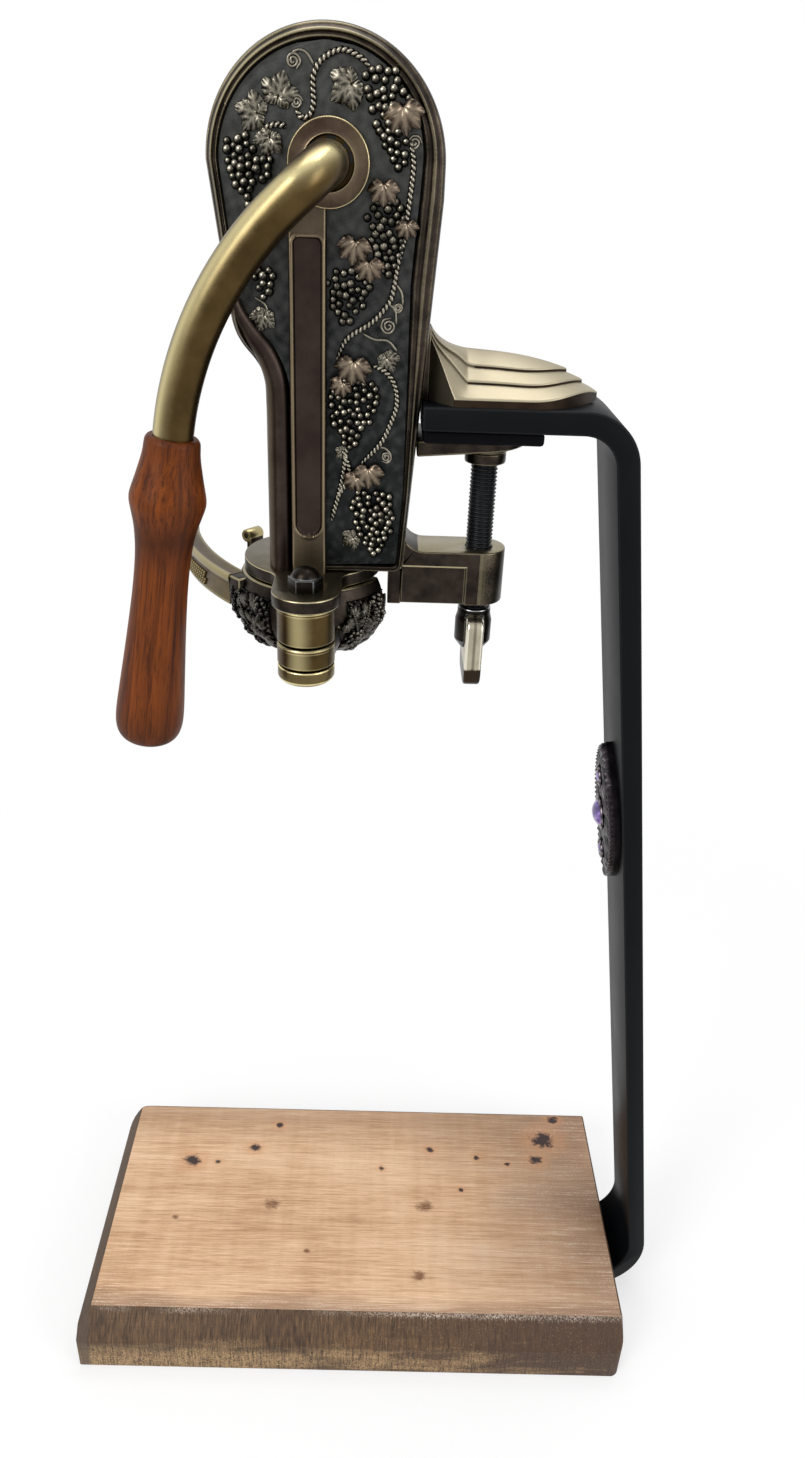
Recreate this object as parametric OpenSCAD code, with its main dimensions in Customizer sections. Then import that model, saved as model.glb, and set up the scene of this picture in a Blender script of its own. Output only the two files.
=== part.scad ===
// Countertop lever corkscrew on a flat-bar stand with a wooden base board.
// Origin: centre of the board's underside. X to the right, Y to the back, Z up. Millimetres.

/* [Base board] */
// Length of the board along X
board_l = 330; // [290:1:360]
// Depth of the board along Y
board_w = 165; // [130:1:220]
// Thickness of the board
board_t = 38; // [30:1:50]
// Width of the chamfer on the front top edge, twice that on the left one
board_chamfer = 14; // [4:1:18]

/* [Stand bar] */
// Width of the flat bar
bar_w = 50; // [44:1:54]
// Thickness of the flat bar
bar_t = 10; // [8:0.5:10]
// Height of the underside of the top arm
arm_z = 557; // [556:0.5:558]
// Distance from the board's middle to the left end of the top arm
arm_end_x = 20; // [20:0.5:24]
// Lean of the upright from vertical, in degrees
bar_lean = 8.5; // [6:0.5:10]
// Inner radius of the top bend
top_bend_r = 15; // [12:1:18]
// Inner radius of the foot bend
foot_bend_r = 30; // [24:1:34]
// Distance from the board's right end to the top bend's centre
bend_in = 78.1; // [75:0.1:79]
// Length of the lower arm under the board, from the board's right end
foot_arm_l = 103; // [85:1:115]
// Diameter of the wood screws
wood_screw_d = 5; // [4:0.5:6]

/* [Badge] */
// Height of the badge's middle above the table
badge_z = 359; // [250:1:420]
// Length of the badge along the bar
badge_l = 84; // [60:1:90]
// Width of the badge
badge_w = 42; // [30:1:48]
// Thickness of the badge plate
badge_t = 5; // [3:0.5:7]
// Diameter of the middle stone
stone_d = 15; // [8:0.5:18]

/* [Housing] */
// Radius of the round head
head_r = 44.3; // [43:0.1:46]
// Depth of the housing behind and before the middle plane
body_half_d = 25; // [25:0.5:28]
// Left edge of the column
column_left = -44; // [-47:0.5:-44]
// Right edge of the column at its foot
column_right = 14; // [12:0.5:15]
// Wall thickness of the casting
wall = 5; // [4:0.5:6]
// Thickness of the front cover at its rim
cover_t = 7; // [6:0.5:8]
// Depth of the cover's sunk panel
panel_sink = 3; // [1.5:0.5:3.5]
// Width of the cover's raised rim
rim_w = 8; // [5:0.5:10]
// Width of the centre rail
rail_w = 14.6; // [12:0.2:16]
// Thickness of the centre rail
rail_t = 5; // [3.5:0.5:6]
// Outer diameter of the ring round the lever shaft
ring_d = 30.6; // [27:0.2:34]

/* [Lever] */
// Diameter of the lever rod
rod_d = 15.5; // [14:0.5:16]
// Distance from the middle plane to the lever's plane
lever_y = 58; // [55:1:64]
// Radius of the elbow out of the housing
elbow_r = 14; // [11:0.5:16]
// Length of the straight between the elbow and the long bend
rod_neck = 4; // [2:0.5:8]
// Heading of the rod below horizontal where the long bend starts, in degrees
rod_start = 42; // [36:0.5:46]
// Turn of the long bend, in degrees
rod_turn = 39.5; // [34:0.5:44]
// Radius of the long bend
rod_bend_r = 136; // [125:0.5:150]
// Length of the wooden grip
grip_l = 133; // [110:1:145]
// Largest diameter of the wooden grip
grip_d = 30; // [26:0.5:34]
// Diameter of the shaft inside the housing
shaft_d = 10; // [8:0.5:10]

/* [Drive] */
// Diameter of the sliding rack carrier
carrier_d = 25; // [24:0.5:26]
// Lead of the worm
worm_lead = 9.5; // [8.5:0.5:10]
// Outer diameter of the worm
worm_d = 10; // [9:0.5:10]
// Wire diameter of the worm
wire_d = 2.8; // [2.4:0.2:3]
// Radial running clearance of shafts and pins
run_gap = 0.05; // [0.02:0.01:0.08]

/* [Bottle grip] */
// Radius of the round flange under the housing
flange_r = 31; // [29:0.5:32]
// Distance from the bottle's axis to the hinge pin
pin_reach = 46; // [44:0.5:49]
// Diameter of the hinge pin
pin_d = 10; // [8:0.5:12]
// Diameter of the jaw knuckles
knuckle_d = 24.6; // [22:0.2:25]
// Radius of the jaws' inner wall
jaw_in_r = 21; // [20:0.5:22]
// Largest radius of the jaws' bulged outside
jaw_out_r = 35; // [33:0.5:36]
// Thickness of the jaw liners
liner_t = 3.5; // [2.5:0.5:4]

/* [Clamp] */
// X of the clamp screw
screw_x = 49; // [47:0.5:52]
// Diameter of the clamp screw
screw_d = 12; // [10:0.5:13]
// Pitch of the clamp screw's thread
screw_pitch = 1.75; // [1.5:0.25:2.5]
// Thickness of the pad under the bar
pad_t = 5.5; // [4:0.5:7]
// Thickness of the sliding plate
plate_t = 7; // [5:0.5:8]
// Reach of the clamp foot on top of the bar
foot_tip_x = 94.5; // [88:0.5:98]

/* [Hidden] */
$fn = 64;
eps = 0.01;

// Heights and places that the pieces share
shaft_x = -18.5;
shaft_rise = 96;
shaft_z = arm_z + shaft_rise;
// The head's middle lies left of the shaft
head_shift = 1.3;
head_x = shaft_x - head_shift;
axis_x = -26.5;
flange_drop = 68;
flange_z = arm_z - flange_drop;
flange_t = 6;
flange_top = flange_z + flange_t;
shoulder_x = -56;
shoulder_rise = 35;
shoulder_z = arm_z + shoulder_rise;
neck_rise = 21;
neck_z = arm_z + neck_rise;
front_y = -body_half_d;
cover_back_y = front_y + cover_t;
panel_y = front_y + panel_sink;
rear_in_y = body_half_d - wall;
bar_top = arm_z + bar_t;
top_bend_x = board_l / 2 - bend_in;
foot_arm_x = board_l / 2 - foot_arm_l;
fit_gap = 0.1;
// Larger than any piece, for cutting away one side of a drawing
far = 2 * board_l;

// Gear train: drive gear, idler pinion and rack
gear_m = 1.5;
drive_teeth = 40;
idler_teeth = 18;
drive_r = gear_m * drive_teeth / 2;
idler_r = gear_m * idler_teeth / 2;
rack_x = axis_x + 0.5;
idler_x = rack_x + idler_r;
idler_z = shaft_z - sqrt(pow(drive_r + idler_r, 2) - pow(idler_x - shaft_x, 2));
mesh_angle = atan2(idler_z - shaft_z, idler_x - shaft_x);
backlash = 0.15;
pressure_angle = 20;
idler_phase = mesh_angle + 180 + 180 / idler_teeth;
side_tooth = idler_phase + 360 / idler_teeth * round((180 - idler_phase) * idler_teeth / 360);
rack_space_z = idler_z + idler_r * (180 - side_tooth) * PI / 180;
rack_pitch = PI * gear_m;
lever_swing = 105;
stroke = drive_r * lever_swing * PI / 180;

// Heights of the carrier, the worm and the nut
bell_top = flange_z + 11;
nut_top = bell_top + 10;
washer_t = 1.5;
collar_h = 5;
nut_gap = 1.5;
carrier_h = 17;
cavity_gap = 2;
tip_drop = 3;
carrier_z = nut_top + nut_gap + stroke + washer_t + collar_h;
carrier_top = carrier_z + carrier_h;
cavity_z = carrier_top + cavity_gap;
worm_tip_z = bell_top - tip_drop;
worm_top_z = carrier_z - washer_t - collar_h / 2;
journal_d = 7;
coil_r = (worm_d - wire_d) / 2;

// Jaws
jaw_drop = 32;
jaw_z = flange_z - jaw_drop;
jaw_h = 31.5;
knuckle_high_drop = 16;
knuckle_high_z = flange_z - knuckle_high_drop;
knuckle_low_drop = 26.5;
knuckle_low_z = flange_z - knuckle_low_drop;
knuckle_low_h = 9.5;
cap_drop = 34.5;
cap_z = flange_z - cap_drop;
pin_y = -pin_reach;
jaw_gap_angle = 15;

// Clamp stack
pad_z = arm_z - fit_gap - pad_t;
plate_z = pad_z - plate_t;
swivel_h = 5;
swivel_z = plate_z - swivel_h;
bracket_drop = 56;
bracket_top = arm_z - bracket_drop;
bracket_h = 25;
bracket_r = 12;
hub_drop = 102;
hub_z = arm_z - hub_drop;
hub_h = 17;
wing_drop = 20;

bronze = [0.45, 0.34, 0.18];
brass = [0.72, 0.55, 0.27];
steel = [0.6, 0.6, 0.62];
black = [0.09, 0.09, 0.1];
timber = [0.62, 0.45, 0.27];
rosewood = [0.42, 0.18, 0.08];

// A flat drawing in X and Z, given depth from y0 to y1
module slab(y0, y1) {
    translate([0, y1, 0]) rotate([90, 0, 0]) linear_extrude(y1 - y0) children();
}

// A round bar along Y
module bar_y(r, y0, y1) {
    translate([0, y1, 0]) rotate([90, 0, 0]) cylinder(r = r, h = y1 - y0);
}

module at_shaft() {
    translate([shaft_x, 0, shaft_z]) children();
}

module at_axis() {
    translate([axis_x, 0, 0]) children();
}

module at_pin() {
    translate([axis_x, pin_y, 0]) children();
}

module ring(r_out, r_in, h) {
    difference() {
        cylinder(r = r_out, h = h);
        translate([0, 0, -1]) cylinder(r = r_in, h = h + 2);
    }
}

// The flat bar's path: top arm, bend, leaning upright, foot bend and lower arm
top_c = [top_bend_x, arm_z - top_bend_r];
foot_cz = bar_t + foot_bend_r;
line_off = top_c[0] * cos(bar_lean) + top_c[1] * sin(bar_lean) + top_bend_r;
foot_c = [(line_off - foot_bend_r - foot_cz * sin(bar_lean)) / cos(bar_lean), foot_cz];
upright_top = top_c + top_bend_r * [cos(bar_lean), sin(bar_lean)];

// Points of an arc about c, from angle a to angle b
arc_steps = 24;
function arc(c, r, a, b) = [for (n = [0:arc_steps])
    let (t = a + (b - a) * n / arc_steps) c + r * [cos(t), sin(t)]];

// Origin at the top of the upright's inner face, -Z along the bar, +X through its thickness
module on_upright() {
    translate([upright_top[0], 0, upright_top[1]]) rotate([0, -bar_lean, 0]) children();
}

module bar_shape(grow) {
    outer = bar_t + grow;
    slab(-bar_w / 2 - grow, bar_w / 2 + grow) polygon(concat(
        [[arm_end_x, arm_z - grow], [arm_end_x, arm_z + outer]],
        arc(top_c, top_bend_r + outer, 90, bar_lean),
        arc(foot_c, foot_bend_r + outer, bar_lean, -90),
        [[foot_arm_x - grow, -grow], [foot_arm_x - grow, outer]],
        arc(foot_c, foot_bend_r - grow, -90, bar_lean),
        arc(top_c, top_bend_r - grow, bar_lean, 90)));
}

screw_inset = 14;
screw_row = [foot_arm_x + screw_inset, (foot_arm_x + foot_c[0]) / 2, foot_c[0] - screw_inset];
screw_head_h = 3;
screw_cover = 10;

// Countersunk wood screw, head flush with the underside
module wood_screw() {
    cylinder(r1 = wood_screw_d, r2 = wood_screw_d / 2, h = screw_head_h);
    cylinder(r = wood_screw_d / 2, h = board_t - screw_cover);
}

module base_board() {
    half_l = board_l / 2;
    half_w = board_w / 2;
    c = board_chamfer;
    side_c = board_chamfer / 2;
    near_left = [-half_l, -half_w];
    near_right = [half_l, -half_w];
    far_right = [half_l, half_w];
    far_left = [-half_l, half_w];
    color(timber) difference() {
        linear_extrude(board_t) polygon(concat([near_left], eased(near_left, near_right, far_right, c / 2),
            [far_right], eased(far_right, far_left, near_left, c)));
        translate([0, -half_w, board_t]) rotate([45, 0, 0])
            cube([board_l + 2, c * sqrt(2), c * sqrt(2)], center = true);
        translate([-half_l, 0, board_t]) rotate([0, 45, 0])
            cube([side_c * sqrt(2), board_w + 2, side_c * sqrt(2)], center = true);
        bar_shape(fit_gap);
        for (x = screw_row) translate([x, 0, 0]) wood_screw();
    }
}

module stand_bar() {
    color(black) difference() {
        bar_shape(0);
        for (x = screw_row) translate([x, 0, 0]) wood_screw();
    }
}

module wood_screws() {
    slot_w = wood_screw_d / 5;
    color(steel) for (x = screw_row) translate([x, 0, 0]) difference() {
        wood_screw();
        translate([-wood_screw_d, -slot_w / 2, -1]) cube([2 * wood_screw_d, slot_w, 2]);
    }
}

// Pointed oval, the overlap of two circles
module pointed_oval(l, w) {
    r = (l * l + w * w) / (4 * w);
    intersection() {
        translate([r - w / 2, 0]) circle(r = r);
        translate([w / 2 - r, 0]) circle(r = r);
    }
}

// Places a drawing on the upright's inner face at the badge's height: x across the bar, y up it
module at_badge() {
    drop = (upright_top[1] - badge_z) / cos(bar_lean);
    on_upright() translate([0, 0, -drop]) rotate([0, -90, 0]) rotate([0, 0, -90]) children();
}

stone_row = [[0, 0, stone_d], [0, badge_l * 0.27, stone_d * 0.55], [0, -badge_l * 0.27, stone_d * 0.55]];
badge_step = 2;

module badge_plate() {
    color([0.2, 0.17, 0.2]) at_badge() difference() {
        union() {
            linear_extrude(badge_t) pointed_oval(badge_l, badge_w);
            linear_extrude(badge_t + badge_step) pointed_oval(badge_l * 0.8, badge_w * 0.72);
        }
        for (s = stone_row) translate([s[0], s[1], badge_t]) cylinder(d = s[2], h = badge_t);
    }
}

module badge_stones() {
    color([0.42, 0.2, 0.55]) at_badge() for (s = stone_row) translate([s[0], s[1], badge_t])
        intersection() {
            cylinder(d = s[2], h = s[2]);
            translate([0, 0, -s[2] * 0.2]) sphere(d = s[2] * 1.2);
        }
}

// Points that ease the corner b between a and c, along a curve that starts d before b and ends d after it
ease_steps = 6;
function eased(a, b, c, d) = let (p = b + d * (a - b) / norm(a - b), q = b + d * (c - b) / norm(c - b))
    [for (n = [0:ease_steps]) let (t = n / ease_steps) pow(1 - t, 2) * p + 2 * t * (1 - t) * b + t * t * q];

// Front view of the housing, drawn in by i on all sides but its foot
ease_d = 8;
module body_outline(i) {
    side = [head_x - head_r + i, shaft_z];
    shoulder = [shoulder_x + i, shoulder_z];
    neck = [column_left + i, neck_z];
    foot = [column_left + i, flange_top];
    translate([head_x, shaft_z]) circle(r = head_r - i, $fn = 96);
    polygon(concat([side], eased(side, shoulder, neck, ease_d), eased(shoulder, neck, foot, ease_d),
        [foot, [column_right - i, flange_top],
        [head_x + head_r - i, shaft_z - head_r / 4], [head_x + head_r - i, shaft_z]]));
}

// The flange's round plate with the hinge lobe in front
lobe_r = 14.5;
module flange_plan() {
    circle(r = flange_r);
    translate([0, pin_y]) circle(r = lobe_r);
    translate([-lobe_r, pin_y]) square([2 * lobe_r, pin_reach]);
    // Hollow fillets between the round plate and the lobe
    for (side = [0, 1]) mirror([side, 0]) difference() {
        polygon([[0, fillet_c[1]], fillet_c, flange_r * fillet_c / norm(fillet_c), [0, 0]]);
        translate(fillet_c) circle(r = flange_fillet);
    }
}
flange_fillet = 8;
fillet_c = [lobe_r + flange_fillet, -sqrt(pow(flange_r + flange_fillet, 2) - pow(lobe_r + flange_fillet, 2))];

barrel_wall = 4;
barrel_r = carrier_d / 2 + run_gap;
nut_r = 14;
bell_r = 16;
cover_screw_r = 2;
post_r = 5;
post_reach = (head_r - post_r - 0.4) * sin(45);
cover_screw_spots = [[column_right - post_r - 1, flange_top + 12],
    [head_x - head_r + 17, shaft_z - 44], [head_x + head_r - 9, shaft_z - 32],
    [head_x - post_reach, shaft_z + post_reach], [head_x + post_reach, shaft_z + post_reach]];

// Right edge of the housing at height z
function body_right(z) = column_right + (z - flange_top) * (head_x + head_r - column_right)
    / (shaft_z - head_r / 4 - flange_top);

bracket_fillet = 10;
bracket_band = 7;
bracket_sink = 1.5;
module bracket_plan() {
    translate([screw_x, 0]) circle(r = bracket_r);
    translate([0, -bracket_r]) square([screw_x, 2 * bracket_r]);
}

module main_body() {
    color(bronze) difference() {
        union() {
            difference() {
                slab(cover_back_y, body_half_d) body_outline(0);
                // Gear room in the head
                slab(cover_back_y - 1, rear_in_y) intersection() {
                    body_outline(wall);
                    translate([-far / 2, cavity_z]) square([far, far]);
                }
                // Pocket beside the barrel
                translate([axis_x + barrel_r + barrel_wall, cover_back_y - 1, flange_top + wall])
                    cube([column_right - wall - axis_x - barrel_r - barrel_wall,
                        rear_in_y - cover_back_y + 1, cavity_z - flange_top - 2 * wall]);
            }
            at_axis() translate([0, 0, flange_z]) linear_extrude(flange_t) flange_plan();
            intersection() {
                slab(cover_back_y, body_half_d) body_outline(0);
                for (s = cover_screw_spots) translate([s[0], 0, s[1]])
                    bar_y(post_r, cover_back_y, body_half_d);
            }
            translate([0, 0, bracket_top - bracket_h]) linear_extrude(bracket_h) difference() {
                bracket_plan();
                translate([-1, -bracket_r - 1]) square([column_right - wall, 2 * bracket_r + 2]);
            }
            // Hollow fillet over the bracket's root
            slab(-bracket_r, bracket_r) difference() {
                translate([column_right - wall, bracket_top - 1])
                    square([wall + bracket_fillet, bracket_fillet + 1]);
                translate([column_right + bracket_fillet, bracket_top + bracket_fillet])
                    circle(r = bracket_fillet);
            }
            // Seat of the clamp foot, on the bar's end
            slab(-foot_w[0][0], foot_w[0][0]) polygon([[body_right(bar_top) - 1, bar_top],
                [foot_root_x, bar_top], [foot_root_x, foot_seat_z],
                [body_right(foot_seat_z) - 1, foot_seat_z]]);
        }
        // Barrel, nut seat and bell seat
        at_axis() translate([0, 0, flange_z - 1]) {
            cylinder(r = barrel_r, h = cavity_z - flange_z + 2);
            cylinder(r = nut_r, h = nut_top - flange_z + 1);
            cylinder(r = bell_r, h = bell_top - flange_z + 1);
        }
        at_pin() translate([0, 0, flange_z - 1]) cylinder(d = pin_d, h = flange_t + 2);
        at_shaft() bar_y(rear_bush_r, rear_in_y - 1, body_half_d + 1);
        translate([idler_x, 0, idler_z]) bar_y(idler_pin_r, rear_in_y - 1, rear_in_y + idler_seat);
        for (s = cover_screw_spots) translate([s[0], 0, s[1]])
            bar_y(cover_screw_r, cover_back_y - 1, body_half_d + 1);
        translate([screw_x, 0, bracket_top - bracket_h - 1])
            cylinder(d = screw_d + 2 * run_gap, h = bracket_h + 2);
        // Sunk sides of the bracket, under its top band and up to its round end
        for (side = [-1, 1]) translate([column_right, side * bracket_r, bracket_top - bracket_h - 1])
            translate([0, -bracket_sink, 0])
            cube([screw_x - bracket_r / 2 - column_right, 2 * bracket_sink, bracket_h - bracket_band + 1]);
    }
}

// Clamp foot: three petals, each a step higher than the one below, on one crowned tail that flares
// up to the housing's side
foot_root_x = 22.6;
foot_t = 3.5;
foot_step = 7;
foot_step_h = 1.5;
foot_rise = 13;
foot_flare = 8.5;
foot_flare_l = 4.5;
foot_nose_power = 2.6;
foot_edge_x = 38;
// Each petal's [half width at the root, half width, x of its corner, x where its nose starts]
foot_w = [[12, 24, 32.6, 62], [10, 17.5, 38.2, 58], [7, 11, 41.2, 54]];

function foot_tip(k) = foot_tip_x - k * foot_step;
function foot_half(k, x) = let (w = foot_w[k]) x < w[2]
    ? w[0] + (w[1] - w[0]) * (x - foot_root_x) / (w[2] - foot_root_x)
    : w[1] * (1 - pow(max(0, x - w[3]) / (foot_tip(k) - w[3]), foot_nose_power));
// Height of the ridge over the rim, and how flat the crown is across
function foot_crown(x) = foot_rise * (1 - pow((x - foot_root_x) / (foot_tip_x - foot_root_x), 3))
    + foot_flare * exp((foot_root_x - x) / foot_flare_l);
function foot_power(x) = 1.35 + 4.5 * pow(max(0, foot_edge_x - x) / (foot_edge_x - foot_root_x), 1.2);
function foot_z(k, x, y) = bar_top + foot_t + k * foot_step_h
    + foot_crown(x) * (1 - pow(min(1, abs(y) / foot_w[0][1]), foot_power(x)));
foot_seat_z = foot_z(2, foot_root_x, 0);

foot_rows = 20;
foot_flank = 6;
foot_cols = 8;
// The rows end just short of the tip, where the petal has no width left
foot_end = 0.985;

module foot_petal(k) {
    wide = foot_cols + 1;
    corner = foot_w[k][2];
    run = foot_end * (foot_tip(k) - corner);
    along = concat([for (n = [0:foot_flank - 1]) foot_root_x + (corner - foot_root_x) * n / foot_flank],
        [for (n = [foot_flank:foot_rows]) corner + run * (n - foot_flank) / (foot_rows - foot_flank)]);
    top = [for (x = along, n = [0:foot_cols]) let (y = foot_half(k, x) * (2 * n / foot_cols - 1))
        [x, y, foot_z(k, x, y)]];
    low = [for (x = along, s = [-1, 1]) [x, s * foot_half(k, x), bar_top + k * foot_step_h / 2]];
    base = len(top);
    skin = [for (n = [0:foot_rows - 1], m = [0:foot_cols - 1]) let (a = n * wide + m)
        each [[a, a + 1, a + wide + 1], [a, a + wide + 1, a + wide]]];
    walls = [for (n = [0:foot_rows - 1]) let (a = n * wide, b = base + 2 * n, c = a + foot_cols)
        each [[a, a + wide, b + 2], [a, b + 2, b], [c, b + 1, b + 3], [c, b + 3, c + wide]]];
    floor_faces = [for (n = [0:foot_rows - 1]) let (b = base + 2 * n)
        each [[b, b + 2, b + 3], [b, b + 3, b + 1]]];
    last = base + 2 * foot_rows;
    end = foot_rows * wide;
    root = concat([[base, base + 1, foot_cols]], [for (m = [0:foot_cols - 1]) [base, m + 1, m]]);
    tip = concat([[last, end + foot_cols, last + 1]],
        [for (m = [0:foot_cols - 1]) [last, end + m, end + m + 1]]);
    polyhedron(concat(top, low), concat(skin, walls, floor_faces, root, tip));
}

module clamp_foot() {
    color(brass) for (k = [0:2]) foot_petal(k);
}

front_bush_r = 10;
rear_bush_r = 8;
idler_pin_r = 4;
idler_seat = 3;
rail_len = shaft_z - flange_top - ring_d / 2 - 2;
strip_top = neck_z - ease_d / 2;
strip_lap = 0.8;
strip_r = (axis_x - rail_w / 2 - column_left + strip_lap) / 2;
strip_x = column_left + strip_r;
strip_y = front_y + strip_r;

module front_cover() {
    color(bronze) difference() {
        slab(front_y, cover_back_y) body_outline(0);
        slab(front_y - 1, panel_y) difference() {
            intersection() {
                body_outline(rim_w);
                translate([-far / 2, flange_top + rim_w * 0.6]) square([far, far]);
            }
            translate([axis_x - far, flange_top]) square([far, strip_top - flange_top]);
        }
        // Round face of the strip
        slab(front_y - 1, cover_back_y) translate([axis_x - far, flange_top - 1])
            square([far - rail_w / 2, strip_top - flange_top + 1]);
        at_shaft() bar_y(front_bush_r, front_y - 1, cover_back_y + 1);
        translate([idler_x, 0, idler_z]) bar_y(idler_pin_r, cover_back_y - idler_seat, cover_back_y + 1);
        for (s = cover_screw_spots) translate([s[0], 0, s[1]])
            bar_y(cover_screw_r, cover_back_y - cover_screw_bite, cover_back_y + 1);
        // The rail's seat
        translate([axis_x - rail_w / 2, front_y - 1, flange_top - 1])
            cube([rail_w, panel_sink + 1, strip_top - flange_top + 2]);
    }
    // Plain round strip left of the rail
    color(bronze) intersection() {
        translate([strip_x, strip_y, flange_top]) cylinder(r = strip_r, h = strip_top - flange_top);
        slab(front_y - 1, cover_back_y) translate([axis_x - far, flange_top - 1])
            square([far - rail_w / 2, far]);
    }
}

// Raised strip with a long sunk panel that is left bare
module centre_rail() {
    slot_w = rail_w * 0.58;
    slot_low = flange_top + rail_w * 1.5;
    slot_high = flange_top + rail_len - rail_w * 0.7;
    slot_sink = rail_t * 0.3;
    color(bronze) difference() {
        slab(panel_y - rail_t, panel_y) translate([axis_x - rail_w / 2, flange_top])
            square([rail_w, rail_len]);
        slab(panel_y - rail_t - 1, panel_y - rail_t + slot_sink) {
            translate([axis_x - slot_w / 2, slot_low]) square([slot_w, slot_high - slot_low]);
            translate([axis_x, slot_low]) circle(d = slot_w);
            translate([axis_x, slot_high]) circle(d = slot_w);
        }
        at_shaft() bar_y(ring_d / 2, panel_y - rail_t - 1, panel_y + 1);
    }
}

cover_screw_bite = 3;
module cover_screws() {
    color(steel) for (s = cover_screw_spots) translate([s[0], 0, s[1]]) {
        bar_y(cover_screw_r, cover_back_y - cover_screw_bite, body_half_d);
        difference() {
            bar_y(cover_screw_r * 2, body_half_d, body_half_d + 2.2);
            translate([-cover_screw_r * 2, body_half_d + 1.2, -0.5]) cube([cover_screw_r * 4, 2, 1]);
        }
    }
}

ring_t = 6.5;
module boss_ring() {
    color(brass) at_shaft() difference() {
        bar_y(ring_d / 2, panel_y - ring_t, panel_y);
        bar_y(rod_d / 2 + 0.3, panel_y - ring_t - 1, panel_y + 1);
    }
}

module front_bush() {
    color(brass) at_shaft() difference() {
        bar_y(front_bush_r, panel_y, cover_back_y);
        bar_y(rod_d / 2 + run_gap, panel_y - 1, cover_back_y + 1);
    }
}

module rear_bush() {
    color(brass) at_shaft() difference() {
        bar_y(rear_bush_r, rear_in_y, body_half_d);
        bar_y(shaft_d / 2 + run_gap, rear_in_y - 1, body_half_d + 1);
    }
}

module idler_pin() {
    color(steel) translate([idler_x, 0, idler_z])
        bar_y(idler_pin_r, cover_back_y - idler_seat, rear_in_y + idler_seat);
}

// Guide pins lie midway between the worm's coils, on opposite sides of the bore
pin_low_z = bell_top + 3;
tip_angle = 90;
guide_angle = tip_angle + 360 * ((pin_low_z - worm_tip_z) / worm_lead - 0.5);
guide_set = [[guide_angle, pin_low_z], [guide_angle + 180, pin_low_z + worm_lead / 2]];
guide_r = 1.2;

module guide_holes() {
    at_axis() for (g = guide_set) translate([0, 0, g[1]]) rotate([0, 90, 0]) rotate([-g[0], 0, 0])
        translate([0, 0, coil_r - 0.6]) cylinder(r = guide_r, h = nut_r - coil_r + 0.4);
}

module worm_nut() {
    color(brass) difference() {
        at_axis() translate([0, 0, bell_top]) ring(nut_r, worm_d / 2 + 0.6, nut_top - bell_top);
        guide_holes();
    }
}

module guide_pins() {
    color(steel) guide_holes();
}

module bottle_bell() {
    color(brass) at_axis() translate([0, 0, flange_z]) difference() {
        cylinder(r = bell_r, h = bell_top - flange_z);
        translate([0, 0, -eps])
            cylinder(r1 = bell_r - 1.5, r2 = worm_d / 2 + 1.5, h = bell_top - flange_z + 2 * eps);
    }
}

nut_flats = pin_d + 3;
nut_h = 6;
pin_top = flange_top + nut_h - 1;

module hinge_pin() {
    color(steel) at_pin() translate([0, 0, cap_z + 2]) cylinder(d = pin_d, h = pin_top - cap_z - 2);
}

module acorn_nut() {
    across = nut_flats / cos(30);
    color(black) at_pin() translate([0, 0, flange_top]) difference() {
        union() {
            cylinder(d = across, h = nut_h, $fn = 6);
            intersection() {
                cylinder(d = nut_flats, h = 2 * nut_h);
                translate([0, 0, nut_h * 0.7]) sphere(d = nut_flats * 0.98);
            }
        }
        translate([0, 0, -1]) cylinder(d = pin_d, h = pin_top - flange_top + 1);
    }
}

module pin_cap() {
    cap_h = 7;
    color(brass) at_pin() translate([0, 0, cap_z]) difference() {
        union() {
            translate([0, 0, 1.5]) cylinder(d = knuckle_d, h = cap_h - 1.5);
            cylinder(d1 = knuckle_d - 3, d2 = knuckle_d, h = 1.5);
        }
        translate([0, 0, 2]) cylinder(d = pin_d, h = cap_h);
    }
}

// Lever: local X runs along the rod's first heading, local Y along the shaft
module lever_frame() {
    at_shaft() rotate([0, 180 - rod_start, 0]) children();
}

// Moves on to the end of the long bend, local -Z along the grip
module at_grip() {
    lever_frame() translate([elbow_r + rod_neck, -lever_y, rod_bend_r]) rotate([0, -rod_turn, 0])
        translate([0, 0, -rod_bend_r]) rotate([0, -90, 0]) children();
}

rod_socket = 12;
rod_in_y = cover_back_y - 0.5;
tang_l = 40;
tang_d = 9;

module lever_arm() {
    bend_y = -lever_y + elbow_r;
    color(brass) {
        lever_frame() {
            difference() {
                bar_y(rod_d / 2, bend_y, rod_in_y);
                bar_y(shaft_d / 2, rod_in_y - rod_socket, rod_in_y + 1);
            }
            translate([elbow_r, bend_y, 0]) rotate([0, 0, 180])
                rotate_extrude(angle = 90) translate([elbow_r, 0]) circle(d = rod_d);
            translate([elbow_r, -lever_y, 0]) rotate([0, 90, 0]) cylinder(d = rod_d, h = rod_neck);
            translate([elbow_r + rod_neck, -lever_y, rod_bend_r]) rotate([90, 0, 0]) rotate([0, 0, -90])
                rotate_extrude(angle = rod_turn, $fn = 128) translate([rod_bend_r, 0]) circle(d = rod_d);
        }
        at_grip() translate([0, 0, -tang_l]) cylinder(d = tang_d, h = tang_l + 1);
    }
}

// Turned grip: [distance from the top, radius], as shares of its length and largest radius
grip_turning = [[0, 0.6], [0.012, 0.7], [0.06, 0.75], [0.12, 0.87], [0.165, 0.97], [0.185, 1],
    [0.205, 0.97], [0.27, 0.83], [0.33, 0.76], [0.4, 0.73], [0.5, 0.745], [0.66, 0.82], [0.84, 0.93],
    [0.915, 0.955], [0.95, 0.92], [0.975, 0.82], [0.992, 0.66], [1, 0.45]];

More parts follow.
